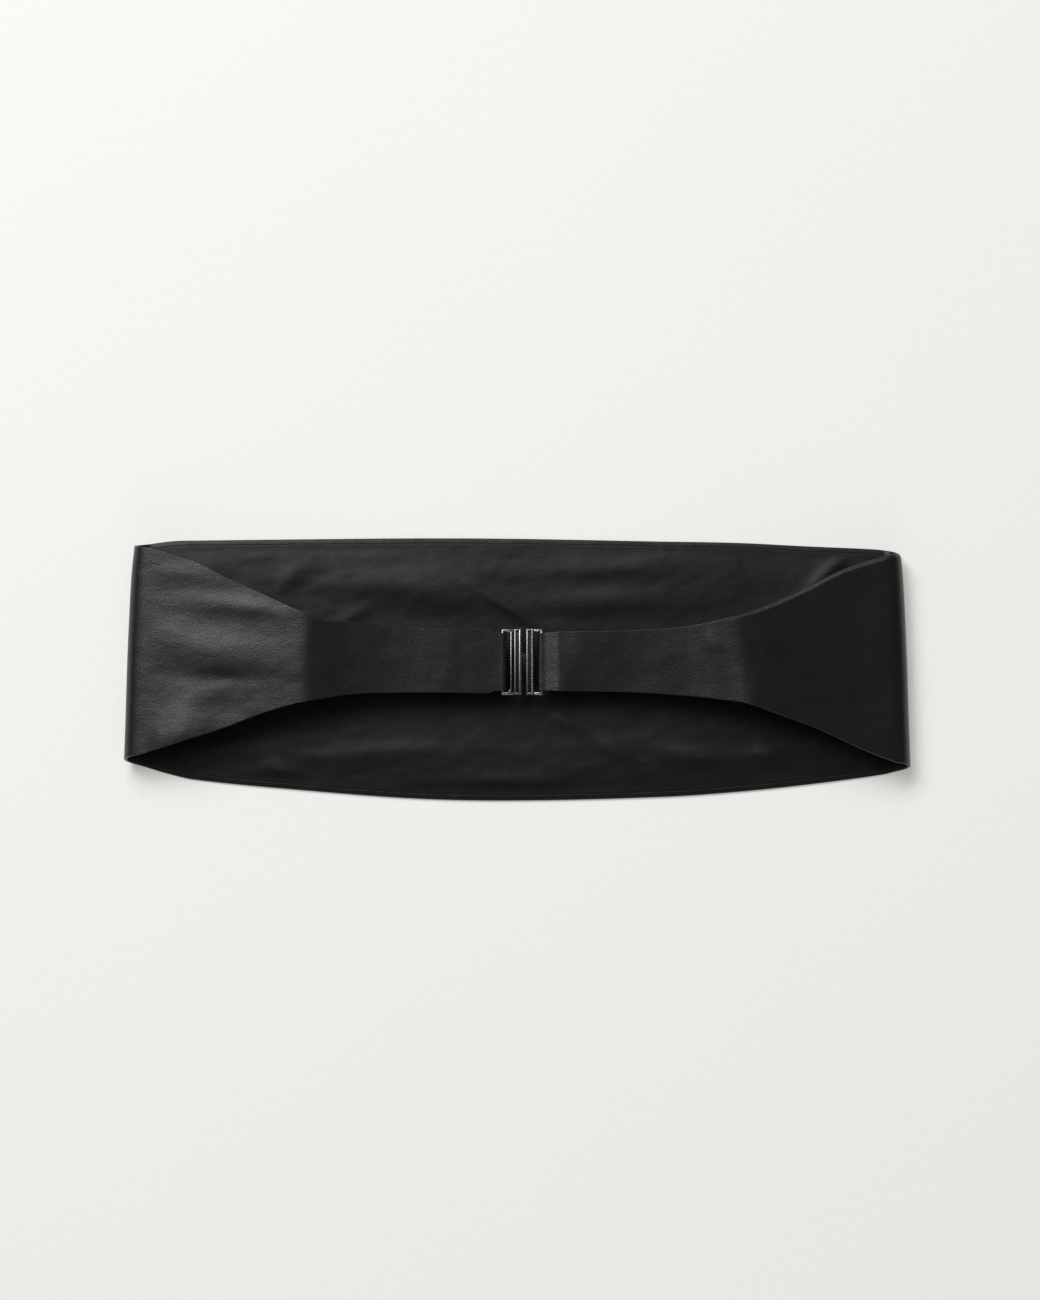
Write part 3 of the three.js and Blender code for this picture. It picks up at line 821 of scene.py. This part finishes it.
    def stations(self) -> list[Station]:
        """The sections of the wing with their inward directions."""
        made = self.round_stations()
        way = self.main_way()
        for i, (x, z, lower, upper, along) in enumerate(way):
            before = way[i - 1] if i else (made[-1].x, made[-1].z)
            after = way[min(len(way) - 1, i + 1)]
            tangent = Vector((after[0] - before[0], after[1] - before[1])).normalized()
            made.append(Station(x, z, (-tangent.y, tangent.x), lower, upper, 0, along))
        travelled = 0.0
        measured = [made[0]]
        for a, b in zip(made, made[1:]):
            travelled += math.hypot(b.x - a.x, b.z - a.z)
            measured.append(replace(b, way=travelled))
        return measured

    def section(self, station: Station, share: float) -> tuple[float, float]:
        """Place across and depth of a point round the wing's flattened section.

        Args:
            station: The wing's section.
            share: Once round, from the lower end of the outer face.

        Returns:
            The place from the lower edge and the depth, millimetres.
        """
        width = station.lower + station.upper
        half_wall = self.wall_at(station) / 2
        press = self.press
        face, roll = self.face_share, self.edge_share
        if share <= face:
            return blend(press, width - press, crowd(share / face)), 0.0
        if share <= face + roll:
            turn = math.pi * (share - face) / roll
            return width - press + press * math.sin(turn), half_wall - half_wall * math.cos(turn)
        if share <= 2 * face + roll:
            return blend(width - press, press, crowd((share - face - roll) / face)), 2 * half_wall
        turn = math.pi * (share - 2 * face - roll) / roll
        return press - press * math.sin(turn), half_wall + half_wall * math.cos(turn)

    def relief(self, station: Station, y: float) -> float:
        """Height of the cloth's folds and ripples at one place, millimetres."""
        soft = fade(station.along, *FOLDS_RISE) * (1 - fade(station.along, *FOLDS_DROP))
        folds = self.band.relief(self.folds, self.tallest, station.x, y)
        ripples = sum(row.at(station.x, y, self.side.value) for row in WING_RIPPLES)
        tipped = fade(station.along, *TIP_RISE) * (1 - fade(station.along, *TIP_DROP))
        return soft * (folds + ripples) + tipped * self.tip * y

    def build(self) -> bpy.types.Object:
        """Makes the wing.

        Returns:
            The wing with its strap and turned end.
        """
        band = self.band
        stations = self.stations()
        widest = max(station.lower + station.upper for station in stations)
        length = stations[-1].way

        def lay(s: float, t: float) -> Vector:
            """Lays one point of the wing."""
            station = stations[round(s * self.along)]
            across, depth = self.section(station, t)
            y = across - station.lower
            depth -= self.relief(station, y)
            rolled = self.edge_roll * (1 - fade(station.along, *ROLL_DROP))
            depth += rolled * (1 - fade(station.upper - y, 0, self.roll_width))
            x = station.x + station.into[0] * depth
            return band.place(x, y, station.z + station.into[1] * depth, self.side)

        def cut(s: float, t: float) -> tuple[float, float]:
            """The flat place of one point, the under face beside the outer one."""
            station = stations[round(s * self.along)]
            across, _ = self.section(station, t)
            y = across - station.lower
            if t > 0.5:
                y = 2 * station.upper - y
            return station.way * MM, y * MM

        name = f"{self.side.name.lower()}_wing_cloth"
        wing = ClothGrid(name, self.along, self.across, lay, cut, closed=True).build()
        pairs = zip(stations, stations[1:])
        area = sum((a.lower + a.upper + b.lower + b.upper) / 2 * (b.way - a.way) for a, b in pairs)
        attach(wing, BODY)
        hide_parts(f"{self.side.name.lower()}_wing")
        length * MM
        widest * MM
        area * MM * MM
        return wing


# The clasp


def rod(bm: bmesh.types.BMesh, diameter: float, start: Vector, end: Vector, segments: int = 20) -> None:
    """Adds a round rod with ball ends to a bmesh, in millimetres.

    Args:
        bm: The mesh to add to.
        diameter: Thickness of the rod.
        start: Middle of one end ball.
        end: Middle of the other.
        segments: Sides of the rod.
    """
    radius = diameter / 2
    sides = {"u_segments": segments, "v_segments": segments // 2}
    made = bmesh.ops.create_uvsphere(bm, radius=radius, **sides)["verts"]
    length = (end - start).length
    bmesh.ops.translate(bm, verts=[vert for vert in made if vert.co.z > 1e-6], vec=(0, 0, length))
    turn = Vector((0, 0, 1)).rotation_difference(end - start).to_matrix().to_4x4()
    bmesh.ops.transform(bm, verts=made, matrix=Matrix.Translation(start) @ turn)


def block(
    bm: bmesh.types.BMesh, low: Sequence[float], high: Sequence[float], bevel: float, polished_unshaded: bool = False
) -> None:
    """Adds a box with softened edges to a bmesh, in millimetres.

    Args:
        bm: The mesh to add to.
        low: Its lowest corner.
        high: Its highest corner.
        bevel: Width of the softened edges.
        polished_unshaded: Whether it is bright like the bars, without the near-black painted shade and extra
            roughness of the hollows.
    """
    # The layer marks the faces that get the near-black painted shade of the hollows.
    shaded_hollow = bm.verts.layers.float.get(SHADED_HOLLOW_NAME) or bm.verts.layers.float.new(SHADED_HOLLOW_NAME)
    made = bmesh.ops.create_cube(bm, size=1)["verts"]
    size = [b - a for a, b in zip(low, high)]
    middle = [(a + b) / 2 for a, b in zip(low, high)]
    bmesh.ops.scale(bm, verts=made, vec=size)
    bmesh.ops.translate(bm, verts=made, vec=middle)
    for vert in made:
        vert[shaded_hollow] = 0.0 if polished_unshaded else 1.0
    edges = list({edge for vert in made for edge in vert.link_edges})
    bmesh.ops.bevel(bm, geom=edges, offset=bevel, segments=2, profile=0.5, affect="EDGES", material=-1)


@dataclass
class ClaspHalf:
    """What the two halves of the clasp share, in millimetres from the clasp's middle.

    Args:
        band: The shared form.
        face_width: Width of a half's face.
        face_gap: Gap between the two faces.
        plate: Thickness of the plates.
        loop_bar: Diameter of the loop's bars.
        wide_bar: Diameter of the wide raised bar.
        tongue_plate: Thickness of the tongue.
        tongue_width: Width of the tongue.
        tongue_reach: How far the tongue reaches past its half's face.
        bevel: Softening of the cast edges.
        sink: How far the groove's floor lies under the bars' axes.
        face_step: From the ends and sides of a face to its raised ends.
        face_end_width: Width of those raised ends.
        face_end_rise: Their height over the bars' axes, as a share of the narrow bar.
        clasp_x: Distance of the clasp's middle from the panel's.
        axis_height: Height of the loops' bars.
    """

    band: Band
    face_width: float = 3.65
    face_gap: float = 1.9
    plate: float = 0.6
    loop_bar: float = 1.6
    wide_bar: float = 1.7
    tongue_plate: float = 0.7
    tongue_width: float = 8.0
    tongue_reach: float = 3.35
    bevel: float = 0.14
    sink: float = 0.5
    face_step: float = 0.3
    face_end_width: float = 0.7
    face_end_rise: float = 0.4
    clasp_x: float = 3.1
    axis_height: float = 14.0

    @property
    def half(self) -> float:
        """Half the clasp's length along Y."""
        return self.band.clasp_length / 2

    @property
    def face_end(self) -> float:
        """Distance of a face's outer edge from the clasp's middle."""
        return self.face_gap / 2 + self.face_width

    @property
    def slot_height(self) -> float:
        """Height of the slot that the tongue lies in."""
        return self.tongue_plate + 2 * self.band.clearance

    @property
    def top(self) -> float:
        """Height of the face's plate over the bars' axis."""
        return self.slot_height / 2 + self.plate

    def loop(self, bm: bmesh.types.BMesh, side: Side, reach: float) -> None:
        """Adds the frame that the strap turns round.

        Args:
            bm: The mesh to add to.
            side: The side of the clasp.
            reach: Distance of the far bar from the clasp's middle.
        """
        arm = self.half - self.loop_bar / 2
        far, near = side.value * reach, side.value * (self.face_end - self.loop_bar / 2)
        for y in (-arm, arm):
            rod(bm, self.loop_bar, Vector((far, y, 0)), Vector((near, y, 0)))
        rod(bm, self.loop_bar, Vector((far, -arm, 0)), Vector((far, arm, 0)))

    def raised_bar(self, bm: bmesh.types.BMesh, diameter: float, x: float) -> None:
        """Adds a smooth raised bar along the face."""
        reach = self.half - diameter / 2
        rod(bm, diameter, Vector((x, -reach, self.top)), Vector((x, reach, self.top)), segments=28)

    def face_ends(self, bm: bmesh.types.BMesh, left: float, right: float, narrow_bar: float) -> None:
        """Adds the raised ends that close the groove between the bars."""
        outer = self.half - self.face_step
        top = self.top + narrow_bar * self.face_end_rise
        for sign in (-1, 1):
            low_y, high_y = sorted((sign * outer, sign * (outer - self.face_end_width)))
            low = (left + self.face_step, low_y, 0)
            high = (right - self.face_step, high_y, top)
            block(bm, low, high, self.bevel, polished_unshaded=True)

    def place(self, bm: bmesh.types.BMesh, name: str, node: str) -> bpy.types.Object:
        """Moves the finished half to its place in the frame.

        Args:
            bm: The mesh, in millimetres from the clasp's middle.
            name: The piece's name.
            node: The solid that it stands for.

        Returns:
            The piece.
        """
        shift = self.band.centre + Vector((self.clasp_x, 0, self.axis_height))
        bmesh.ops.translate(bm, verts=bm.verts, vec=shift)
        bmesh.ops.scale(bm, verts=bm.verts, vec=(MM, MM, MM))
        bmesh.ops.recalc_face_normals(bm, faces=bm.faces)
        piece = finish_mesh(name, bm)
        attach(piece, BODY)
        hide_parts(node)
        return piece


@dataclass
class ClaspSocket(ClaspHalf):
    """The left half: strap loop, grooved face and the box that the tongue slips into.

    Args:
        reach: Distance of the loop's far bar from the clasp's middle.
        slot: Open slot between the face and the inner bar.
        inner_bar: Diameter of that bar.
        narrow_bar: Diameter of the narrow raised bar.
        lip: Length of the plate that reaches out under the tongue.
        lip_inset: From the ends of the face to that plate's ends.
        wall: Wall round the slot that the tongue lies in.
        gusset_length: Length along the inner bar of the slanting bars at its ends.
        gusset_reach: Their length across it.
        gusset_share: Their thickness as a share of the inner bar's.
    """

    reach: float = 9.7
    slot: float = 0.8
    inner_bar: float = 0.9
    narrow_bar: float = 1.2
    lip: float = 0.9
    lip_inset: float = 1.0
    wall: float = 0.8
    gusset_length: float = 2.2
    gusset_reach: float = 1.3
    gusset_share: float = 0.7

    def build(self) -> bpy.types.Object:
        """Makes the left half.

        Returns:
            The piece.
        """
        bm = bmesh.new()
        outside, inside = -self.face_end, -self.face_gap / 2
        floor = self.top - self.sink
        block(bm, (outside, -self.half, self.slot_height / 2), (inside, self.half, floor), self.bevel * 0.5)
        under, lip_end = -self.slot_height / 2, self.half - self.lip_inset
        block(bm, (outside, -lip_end, -self.top), (inside + self.lip, lip_end, under), self.bevel)
        block(bm, (outside, -self.half, -self.top), (outside + self.wall, self.half, floor), self.bevel)
        for sign in (-1, 1):
            low, high = sorted((sign * self.half, sign * (self.half - 2 * self.wall)))
            block(bm, (outside, low, -self.top), (inside, high, floor), self.bevel)
        self.raised_bar(bm, self.narrow_bar, outside + self.narrow_bar / 2)
        self.raised_bar(bm, self.wide_bar, inside - self.wide_bar / 2)
        self.face_ends(bm, outside, inside, self.narrow_bar)
        self.loop(bm, Side.LEFT, self.reach)
        inner = outside - self.slot - self.inner_bar / 2
        arm = self.half - self.loop_bar / 2
        rod(bm, self.inner_bar, Vector((inner, -arm, 0)), Vector((inner, arm, 0)))
        for sign in (-1, 1):
            start = Vector((inner, sign * (arm - self.gusset_length), 0))
            end = Vector((inner - self.gusset_reach, sign * arm, 0))
            rod(bm, self.inner_bar * self.gusset_share, start, end, segments=14)
        return self.place(bm, "clasp_socket_casting", "clasp_socket")


@dataclass
class ClaspTongue(ClaspHalf):
    """The right half: strap loop, grooved and beaded face and the tongue.

    Args:
        reach: Distance of the loop's far bar from the clasp's middle.
        narrow_bar: Diameter of the narrow raised bar.
        bead_pitch: From bead to bead.
        bead_ends: Length of the face that the row of beads leaves free.
        bead_core: Diameter of the bar under the beads, as a share of theirs.
        bead_squash: Length of a bead along the row, as a share of its diameter.
        tongue_root: Length of the tongue inside its half's face.
        catch_rise: Height of the small hook at the tongue's tip.
        catch_length: Length of that hook.
    """

    reach: float = 8.0
    narrow_bar: float = 1.1
    bead_pitch: float = 0.8
    bead_ends: float = 1.0
    bead_core: float = 0.72
    bead_squash: float = 0.5
    tongue_root: float = 0.5
    catch_rise: float = 0.45
    catch_length: float = 0.6

    def beads(self, bm: bmesh.types.BMesh, x: float) -> None:
        """Adds the row of beads along the outer bar of the face."""
        length = 2 * self.half - self.bead_ends
        count = round(length / self.bead_pitch)
        start, end = Vector((x, -length / 2, self.top)), Vector((x, length / 2, self.top))
        rod(bm, self.wide_bar * self.bead_core, start, end)
        for i in range(count):
            y = length * ((i + 0.5) / count - 0.5)
            radius = self.wide_bar / 2
            made = bmesh.ops.create_uvsphere(bm, u_segments=14, v_segments=10, radius=radius)["verts"]
            bmesh.ops.scale(bm, verts=made, vec=(1, self.bead_squash, 1))
            bmesh.ops.translate(bm, verts=made, vec=(x, y, self.top))

    def build(self) -> bpy.types.Object:
        """Makes the right half.

        Returns:
            The piece.
        """
        bm = bmesh.new()
        inside, outside = self.face_gap / 2, self.face_end
        floor = self.top - self.sink
        block(bm, (inside, -self.half, -self.top), (outside, self.half, floor), self.bevel)
        self.raised_bar(bm, self.narrow_bar, inside + self.narrow_bar / 2)
        self.beads(bm, outside - self.wide_bar / 2)
        self.face_ends(bm, inside, outside, self.narrow_bar)
        self.loop(bm, Side.RIGHT, self.reach)
        tip = inside - self.tongue_reach
        half, rise = self.tongue_width / 2, self.tongue_plate / 2
        block(bm, (tip, -half, -rise), (inside + self.tongue_root, half, rise), self.bevel)
        block(bm, (tip, -half, 0), (tip + self.catch_length, half, rise + self.catch_rise), self.bevel)
        return self.place(bm, "clasp_tongue_casting", "clasp_tongue")


# Finishes


class Wire:
    """A shader value that can be used in Python expressions."""

    def __init__(self, shader: ShaderTree, socket: bpy.types.NodeSocket) -> None:
        """Keeps the tree and the socket that the value comes from."""
        self.shader = shader
        self.socket = socket

    def maths(self, operation: str, *values: Wire | float) -> Wire:
        """Adds a Math node.

        Args:
            operation: The node's operation.
            values: Its inputs, in order.

        Returns:
            The node's value.
        """
        inputs = dict(enumerate(values))
        return self.shader.node("ShaderNodeMath", {"operation": operation}, inputs)

    def __add__(self, other: Wire | float) -> Wire:
        """The sum."""
        return self.maths("ADD", self, other)

    def __radd__(self, other: float) -> Wire:
        """The sum, with the number first."""
        return self.maths("ADD", other, self)

    def __sub__(self, other: Wire | float) -> Wire:
        """The difference."""
        return self.maths("SUBTRACT", self, other)

    def __rsub__(self, other: float) -> Wire:
        """The difference, with the number first."""
        return self.maths("SUBTRACT", other, self)

    def __mul__(self, other: Wire | float) -> Wire:
        """The product."""
        return self.maths("MULTIPLY", self, other)

    def __rmul__(self, other: float) -> Wire:
        """The product, with the number first."""
        return self.maths("MULTIPLY", other, self)

    def __truediv__(self, other: Wire | float) -> Wire:
        """The quotient."""
        return self.maths("DIVIDE", self, other)


class ShaderTree:
    """A material's node tree, built from its Principled shader."""

    def __init__(self, name: str) -> None:
        """Starts a material of that name with its own shader."""
        self.material = bpy.data.materials.new(name)
        self.material.use_nodes = True
        self.tree = self.material.node_tree
        self.shader = self.tree.nodes["Principled BSDF"]

    def node(
        self,
        kind: str,
        settings: dict[str, object] | None = None,
        inputs: dict[int | str, Wire | float | tuple[float, ...]] | None = None,
        output: int | str = 0,
    ) -> Wire:
        """Adds any node.

        Args:
            kind: The node's type.
            settings: Its own settings, set first.
            inputs: Values or links for its sockets.
            output: The socket to return.

        Returns:
            The chosen output.
        """
        made = self.tree.nodes.new(kind)
        for key, value in (settings or {}).items():
            setattr(made, key, value)
        for key, value in (inputs or {}).items():
            self.feed(made.inputs[key], value)
        return Wire(self, made.outputs[output])

    def feed(self, socket: bpy.types.NodeSocket, value: Wire | float | tuple[float, ...]) -> None:
        """Links or sets one socket."""
        if isinstance(value, Wire):
            self.tree.links.new(value.socket, socket)
        else:
            socket.default_value = value

    def surface(self, **values: Wire | float | tuple[float, ...]) -> bpy.types.Material:
        """Feeds the Principled shader, its sockets named with underscores.

        Returns:
            The finished material.
        """
        for key, value in values.items():
            self.feed(self.shader.inputs[key.replace("_", " ")], value)
        return self.material

    def noise(self, vector: Wire, scale: float, detail: float = 2.0, roughness: float = 0.5) -> Wire:
        """Noise between 0 and 1 on a vector, scale waves to its unit."""
        settings = {"noise_dimensions": "3D"}
        inputs = {"Vector": vector, "Scale": scale, "Detail": detail, "Roughness": roughness}
        return self.node("ShaderNodeTexNoise", settings, inputs, "Fac")

    def stretched(self, vector: Wire, factors: tuple[float, float, float]) -> Wire:
        """A vector scaled by its own factor along each axis."""
        return self.node("ShaderNodeMapping", {"vector_type": "POINT"}, {"Vector": vector, "Scale": factors})

    def cloth_place(self) -> Wire:
        """The flat place on the cloth, metres."""
        return self.node("ShaderNodeUVMap", {"uv_map": UV_NAME})

    def object_place(self) -> Wire:
        """The place in the object's own frame, metres."""
        return self.node("ShaderNodeTexCoord", output="Object")

    def tint(self, factor: Wire, dark: Wire | tuple[float, ...], light: tuple[float, ...]) -> Wire:
        """A colour between two, by a factor."""
        inputs = {0: factor, 6: dark if isinstance(dark, Wire) else (*dark, 1.0), 7: (*light, 1.0)}
        return self.node("ShaderNodeMix", {"data_type": "RGBA"}, inputs, 2)

    def bump(self, height: Wire, distance: float, normal: Wire | None = None) -> Wire:
        """A bumped normal from a height, on top of another one if there is one."""
        inputs: dict[int | str, Wire | float] = {"Height": height, "Distance": distance, "Strength": 1.0}
        if normal is not None:
            inputs["Normal"] = normal
        return self.node("ShaderNodeBump", {}, inputs)


@dataclass(frozen=True)
class SatinFinish:
    """Dull side or face of a black satin.

    Args:
        name: The material's name.
        dark: Darkest colour.
        light: Lightest colour.
        roughness: Middle roughness.
        unevenness: Change of roughness over the cloth.
        sheen: Weight of the soft sheen.
        sheen_tint: Colour of that sheen.
        grain: Depth of the thread grain, metres.
        crease: Depth of the small creases, metres.
        specular: Level of the mirror part.
    """

    name: str
    dark: tuple[float, float, float]
    light: tuple[float, float, float]
    roughness: float
    unevenness: float
    sheen: float
    sheen_tint: tuple[float, float, float]
    grain: float
    crease: float
    specular: float

    def build(self) -> bpy.types.Material:
        """Makes the material.

        Returns:
            The satin.
        """
        shader = ShaderTree(self.name)
        place = shader.cloth_place()
        threads = shader.noise(shader.stretched(place, (1500.0, 1150.0, 1.0)), 1.0, 2.0, 0.6)
        slubs = shader.noise(shader.stretched(place, (420.0, 300.0, 1.0)), 1.0, 2.0)
        clouds = shader.noise(place, 45.0, 3.0)
        creases = shader.noise(shader.stretched(place, (70.0, 110.0, 1.0)), 1.0, 3.0, 0.45)
        soft = shader.bump(creases, self.crease)
        normal = shader.bump(threads * 0.85 + slubs * 0.15, self.grain, normal=soft)
        roughness = self.roughness + (clouds - 0.5) * self.unevenness + (threads - 0.5) * 0.08
        return shader.surface(
            Base_Color=shader.tint(clouds * 0.6 + threads * 0.4, self.dark, self.light),
            Roughness=roughness,
            Normal=normal,
            Sheen_Weight=self.sheen,
            Sheen_Roughness=0.45,
            Sheen_Tint=(*self.sheen_tint, 1.0),
            Specular_IOR_Level=self.specular,
        )


@dataclass(frozen=True)
class NickelFinish:
    """Polished dark nickel of a small casting.

    Args:
        name: The material's name.
        dark: Colour in the duller patches.
        light: Colour where it is polished.
        painted_shade: Near-black colour painted on the plates between the bars, as shade in the hollows.
        roughness: Roughness where it is polished.
    """

    name: str
    dark: tuple[float, float, float]
    light: tuple[float, float, float]
    painted_shade: tuple[float, float, float]
    roughness: float

    def build(self) -> bpy.types.Material:
        """Makes the material.

        Returns:
            The metal.
        """
        shader = ShaderTree(self.name)
        place = shader.object_place()
        clouds = shader.noise(place, 160.0, 1.0)
        scratches = shader.noise(shader.stretched(place, (5200.0, 500.0, 5200.0)), 1.0, 2.0)
        # The hollows get a near-black painted shade and a little more roughness.
        shaded_hollow = shader.node("ShaderNodeAttribute", {"attribute_name": SHADED_HOLLOW_NAME}, output="Fac")
        cast = shader.tint(clouds, self.dark, self.light)
        return shader.surface(
            Base_Color=shader.tint(shaded_hollow, cast, self.painted_shade),
            Metallic=1.0,
            Roughness=self.roughness + clouds * 0.05 + scratches * 0.02 + shaded_hollow * 0.15,
            Normal=shader.bump(scratches, 0.000001),
        )


@dataclass(frozen=True)
class FloorFinish:
    """Matt pale paper on a faintly lit table.

    Args:
        name: The material's name.
        colour: The paper's colour.
        painted_glow: Strength of that painted glow.
    """

    name: str
    colour: tuple[float, float, float]
    painted_glow: float

    def build(self) -> bpy.types.Material:
        """Makes the material.

        Returns:
            The paper.
        """
        shader = ShaderTree(self.name)
        place = shader.object_place()
        grain = shader.noise(place, 260.0, 4.0)
        darker = tuple(part * 0.985 for part in self.colour)
        return shader.surface(
            Base_Color=shader.tint(shader.noise(place, 7.0), darker, self.colour),
            Roughness=0.9,
            Specular_IOR_Level=0.2,
            Normal=shader.bump(grain, 0.00015),
            # Painted light: the paper glows by itself and so lightens the shadows on the floor.
            Emission_Color=(*self.colour, 1.0),
            Emission_Strength=self.painted_glow,
        )


SATIN = SatinFinish(
    name="black_satin",
    dark=(0.0036, 0.0035, 0.0036),
    light=(0.0062, 0.0061, 0.0062),
    roughness=0.37,
    unevenness=0.05,
    sheen=0.02,
    sheen_tint=(0.9, 0.9, 0.95),
    grain=0.00013,
    crease=0.0003,
    specular=0.46,
)
LINING = SatinFinish(
    name="black_lining",
    dark=(0.0034, 0.0034, 0.0042),
    light=(0.006, 0.006, 0.0078),
    roughness=0.45,
    unevenness=0.08,
    sheen=0.02,
    sheen_tint=(0.85, 0.85, 1.0),
    grain=0.0001,
    crease=0.0003,
    specular=0.3,
)
# The nickel's last colour is near-black painted shade for the hollows between the bars.
NICKEL = NickelFinish(
    name="dark_nickel",
    dark=(0.22, 0.218, 0.214),
    light=(0.34, 0.337, 0.332),
    painted_shade=(0.035, 0.034, 0.033),
    roughness=0.2,
)
# The paper's glow is painted light that lightens the shadows on it.
PAPER = FloorFinish(name="pale_paper", colour=(0.86, 0.862, 0.83), painted_glow=0.33)


def dress(obj: bpy.types.Object, material: bpy.types.Material) -> None:
    """Gives a piece its finish."""
    obj.data.materials.clear()
    obj.data.materials.append(material)


# The studio


@dataclass(frozen=True)
class Softbox:
    """One soft light.

    Args:
        name: Its name.
        place: Where it hangs, metres, pointing at the middle of the surface.
        size: Its side.
        power: Watts.
    """

    name: str
    place: tuple[float, float, float]
    size: float
    power: float

    def build(self) -> bpy.types.Object:
        """Hangs the light.

        Returns:
            The light.
        """
        data = bpy.data.lights.new(self.name, "AREA")
        data.size = self.size
        data.energy = self.power
        light = bpy.data.objects.new(self.name, data)
        light.location = self.place
        light.rotation_euler = (-Vector(self.place)).to_track_quat("-Z", "Y").to_euler()
        bpy.context.scene.collection.objects.link(light)
        return light


@dataclass
class Studio:
    """Floor, lights and camera.

    Args:
        elevation: Degrees of the camera above the horizon.
        distance: From the camera to what it looks at, metres.
        scale: Metres to a pixel of the 1040 by 1300 frame, at the surface.
        aim: What the middle of the frame shows, metres.
        daylight: Strength of the plain surroundings.
        frame_height: Pixels of the frame that the scale is given in.
        sensor: Width of the camera's sensor, millimetres.
        floor_reach: Half the side of the pale surface, metres.
    """

    elevation: float = 83.0
    distance: float = 1.52
    scale: float = 0.00046
    aim: tuple[float, float, float] = (0.0013, 0.0088, 0.0)
    daylight: float = 0.14
    frame_height: int = 1300
    sensor: float = 36.0
    floor_reach: float = 3.0

    def camera(self) -> bpy.types.Object:
        """Sets the camera at the photograph's angle.

        Returns:
            The camera.
        """
        data = bpy.data.cameras.new("camera")
        data.sensor_width = self.sensor
        data.lens = self.distance / (self.scale * self.frame_height) * self.sensor
        data.clip_start, data.clip_end = 0.05, 20.0
        camera = bpy.data.objects.new("camera", data)
        rise = math.radians(self.elevation)
        camera.location = Vector(self.aim) + self.distance * Vector((0, -math.cos(rise), math.sin(rise)))
        camera.rotation_euler = (math.pi / 2 - rise, 0, 0)
        bpy.context.scene.collection.objects.link(camera)
        bpy.context.scene.camera = camera
        return camera

    def floor(self) -> bpy.types.Object:
        """Lays the plain pale surface.

        Returns:
            The floor.
        """
        bm = bmesh.new()
        bmesh.ops.create_grid(bm, x_segments=1, y_segments=1, size=self.floor_reach)
        floor = finish_mesh("floor", bm, smooth=False)
        dress(floor, PAPER.build())
        return floor

    def surroundings(self) -> None:
        """Fills the room with plain light."""
        world = bpy.data.worlds.new("room")
        world.use_nodes = True
        background = world.node_tree.nodes["Background"]
        background.inputs["Color"].default_value = (1.0, 1.0, 1.0, 1.0)
        background.inputs["Strength"].default_value = self.daylight
        bpy.context.scene.world = world

    def build(self) -> None:
        """Sets up the whole studio."""
        bpy.context.scene.view_settings.view_transform = "Standard"
        self.floor()
        self.surroundings()
        self.camera()
        for light in LIGHTS:
            light.build()


LIGHTS = (
    Softbox("key", place=(-1.15, 1.34, 1.91), size=1.0, power=23),
    Softbox("far_fill", place=(-0.56, 2.8, 2.8), size=1.5, power=36),
    Softbox("high_fill", place=(-1.39, 1.39, 3.48), size=1.5, power=22),
    Softbox("near_fill", place=(0.0, -1.97, 0.98), size=0.9, power=3),
)


def main() -> None:
    """Builds the cummerbund and its studio."""
    logging.basicConfig(level=logging.INFO, format="%(name)s: %(message)s")
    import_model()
    band = Band()
    satin, lining, nickel = SATIN.build(), LINING.build(), NICKEL.build()
    socket, tongue = ClaspSocket(band), ClaspTongue(band)
    left_wing = BackWing(
        band=band,
        side=Side.LEFT,
        rows=LEFT_WING_ROWS,
        folds=LEFT_WING_FOLDS,
        strap=29.7,
        bar=socket.reach - socket.clasp_x,
        press=0.15,
    )
    right_wing = BackWing(
        band=band,
        side=Side.RIGHT,
        rows=RIGHT_WING_ROWS,
        folds=RIGHT_WING_FOLDS,
        strap=27.4,
        bar=tongue.reach + tongue.clasp_x,
        swell=0.75,
        dip_end=8.5,
        edge_roll=0.75,
        tip=0.06,
    )
    pieces = (
        (FrontPanel(band).build(), satin),
        (PanelLining(band).build(), lining),
        (left_wing.build(), satin),
        (right_wing.build(), satin),
        (socket.build(), nickel),
        (tongue.build(), nickel),
    )
    for piece, finish in pieces:
        dress(piece, finish)
        LOG.info("%s: %d faces, %s", piece.name, len(piece.data.polygons), finish.name)
    Studio().build()
    bpy.context.view_layer.update()
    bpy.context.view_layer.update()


if __name__ == "__main__":
    main()
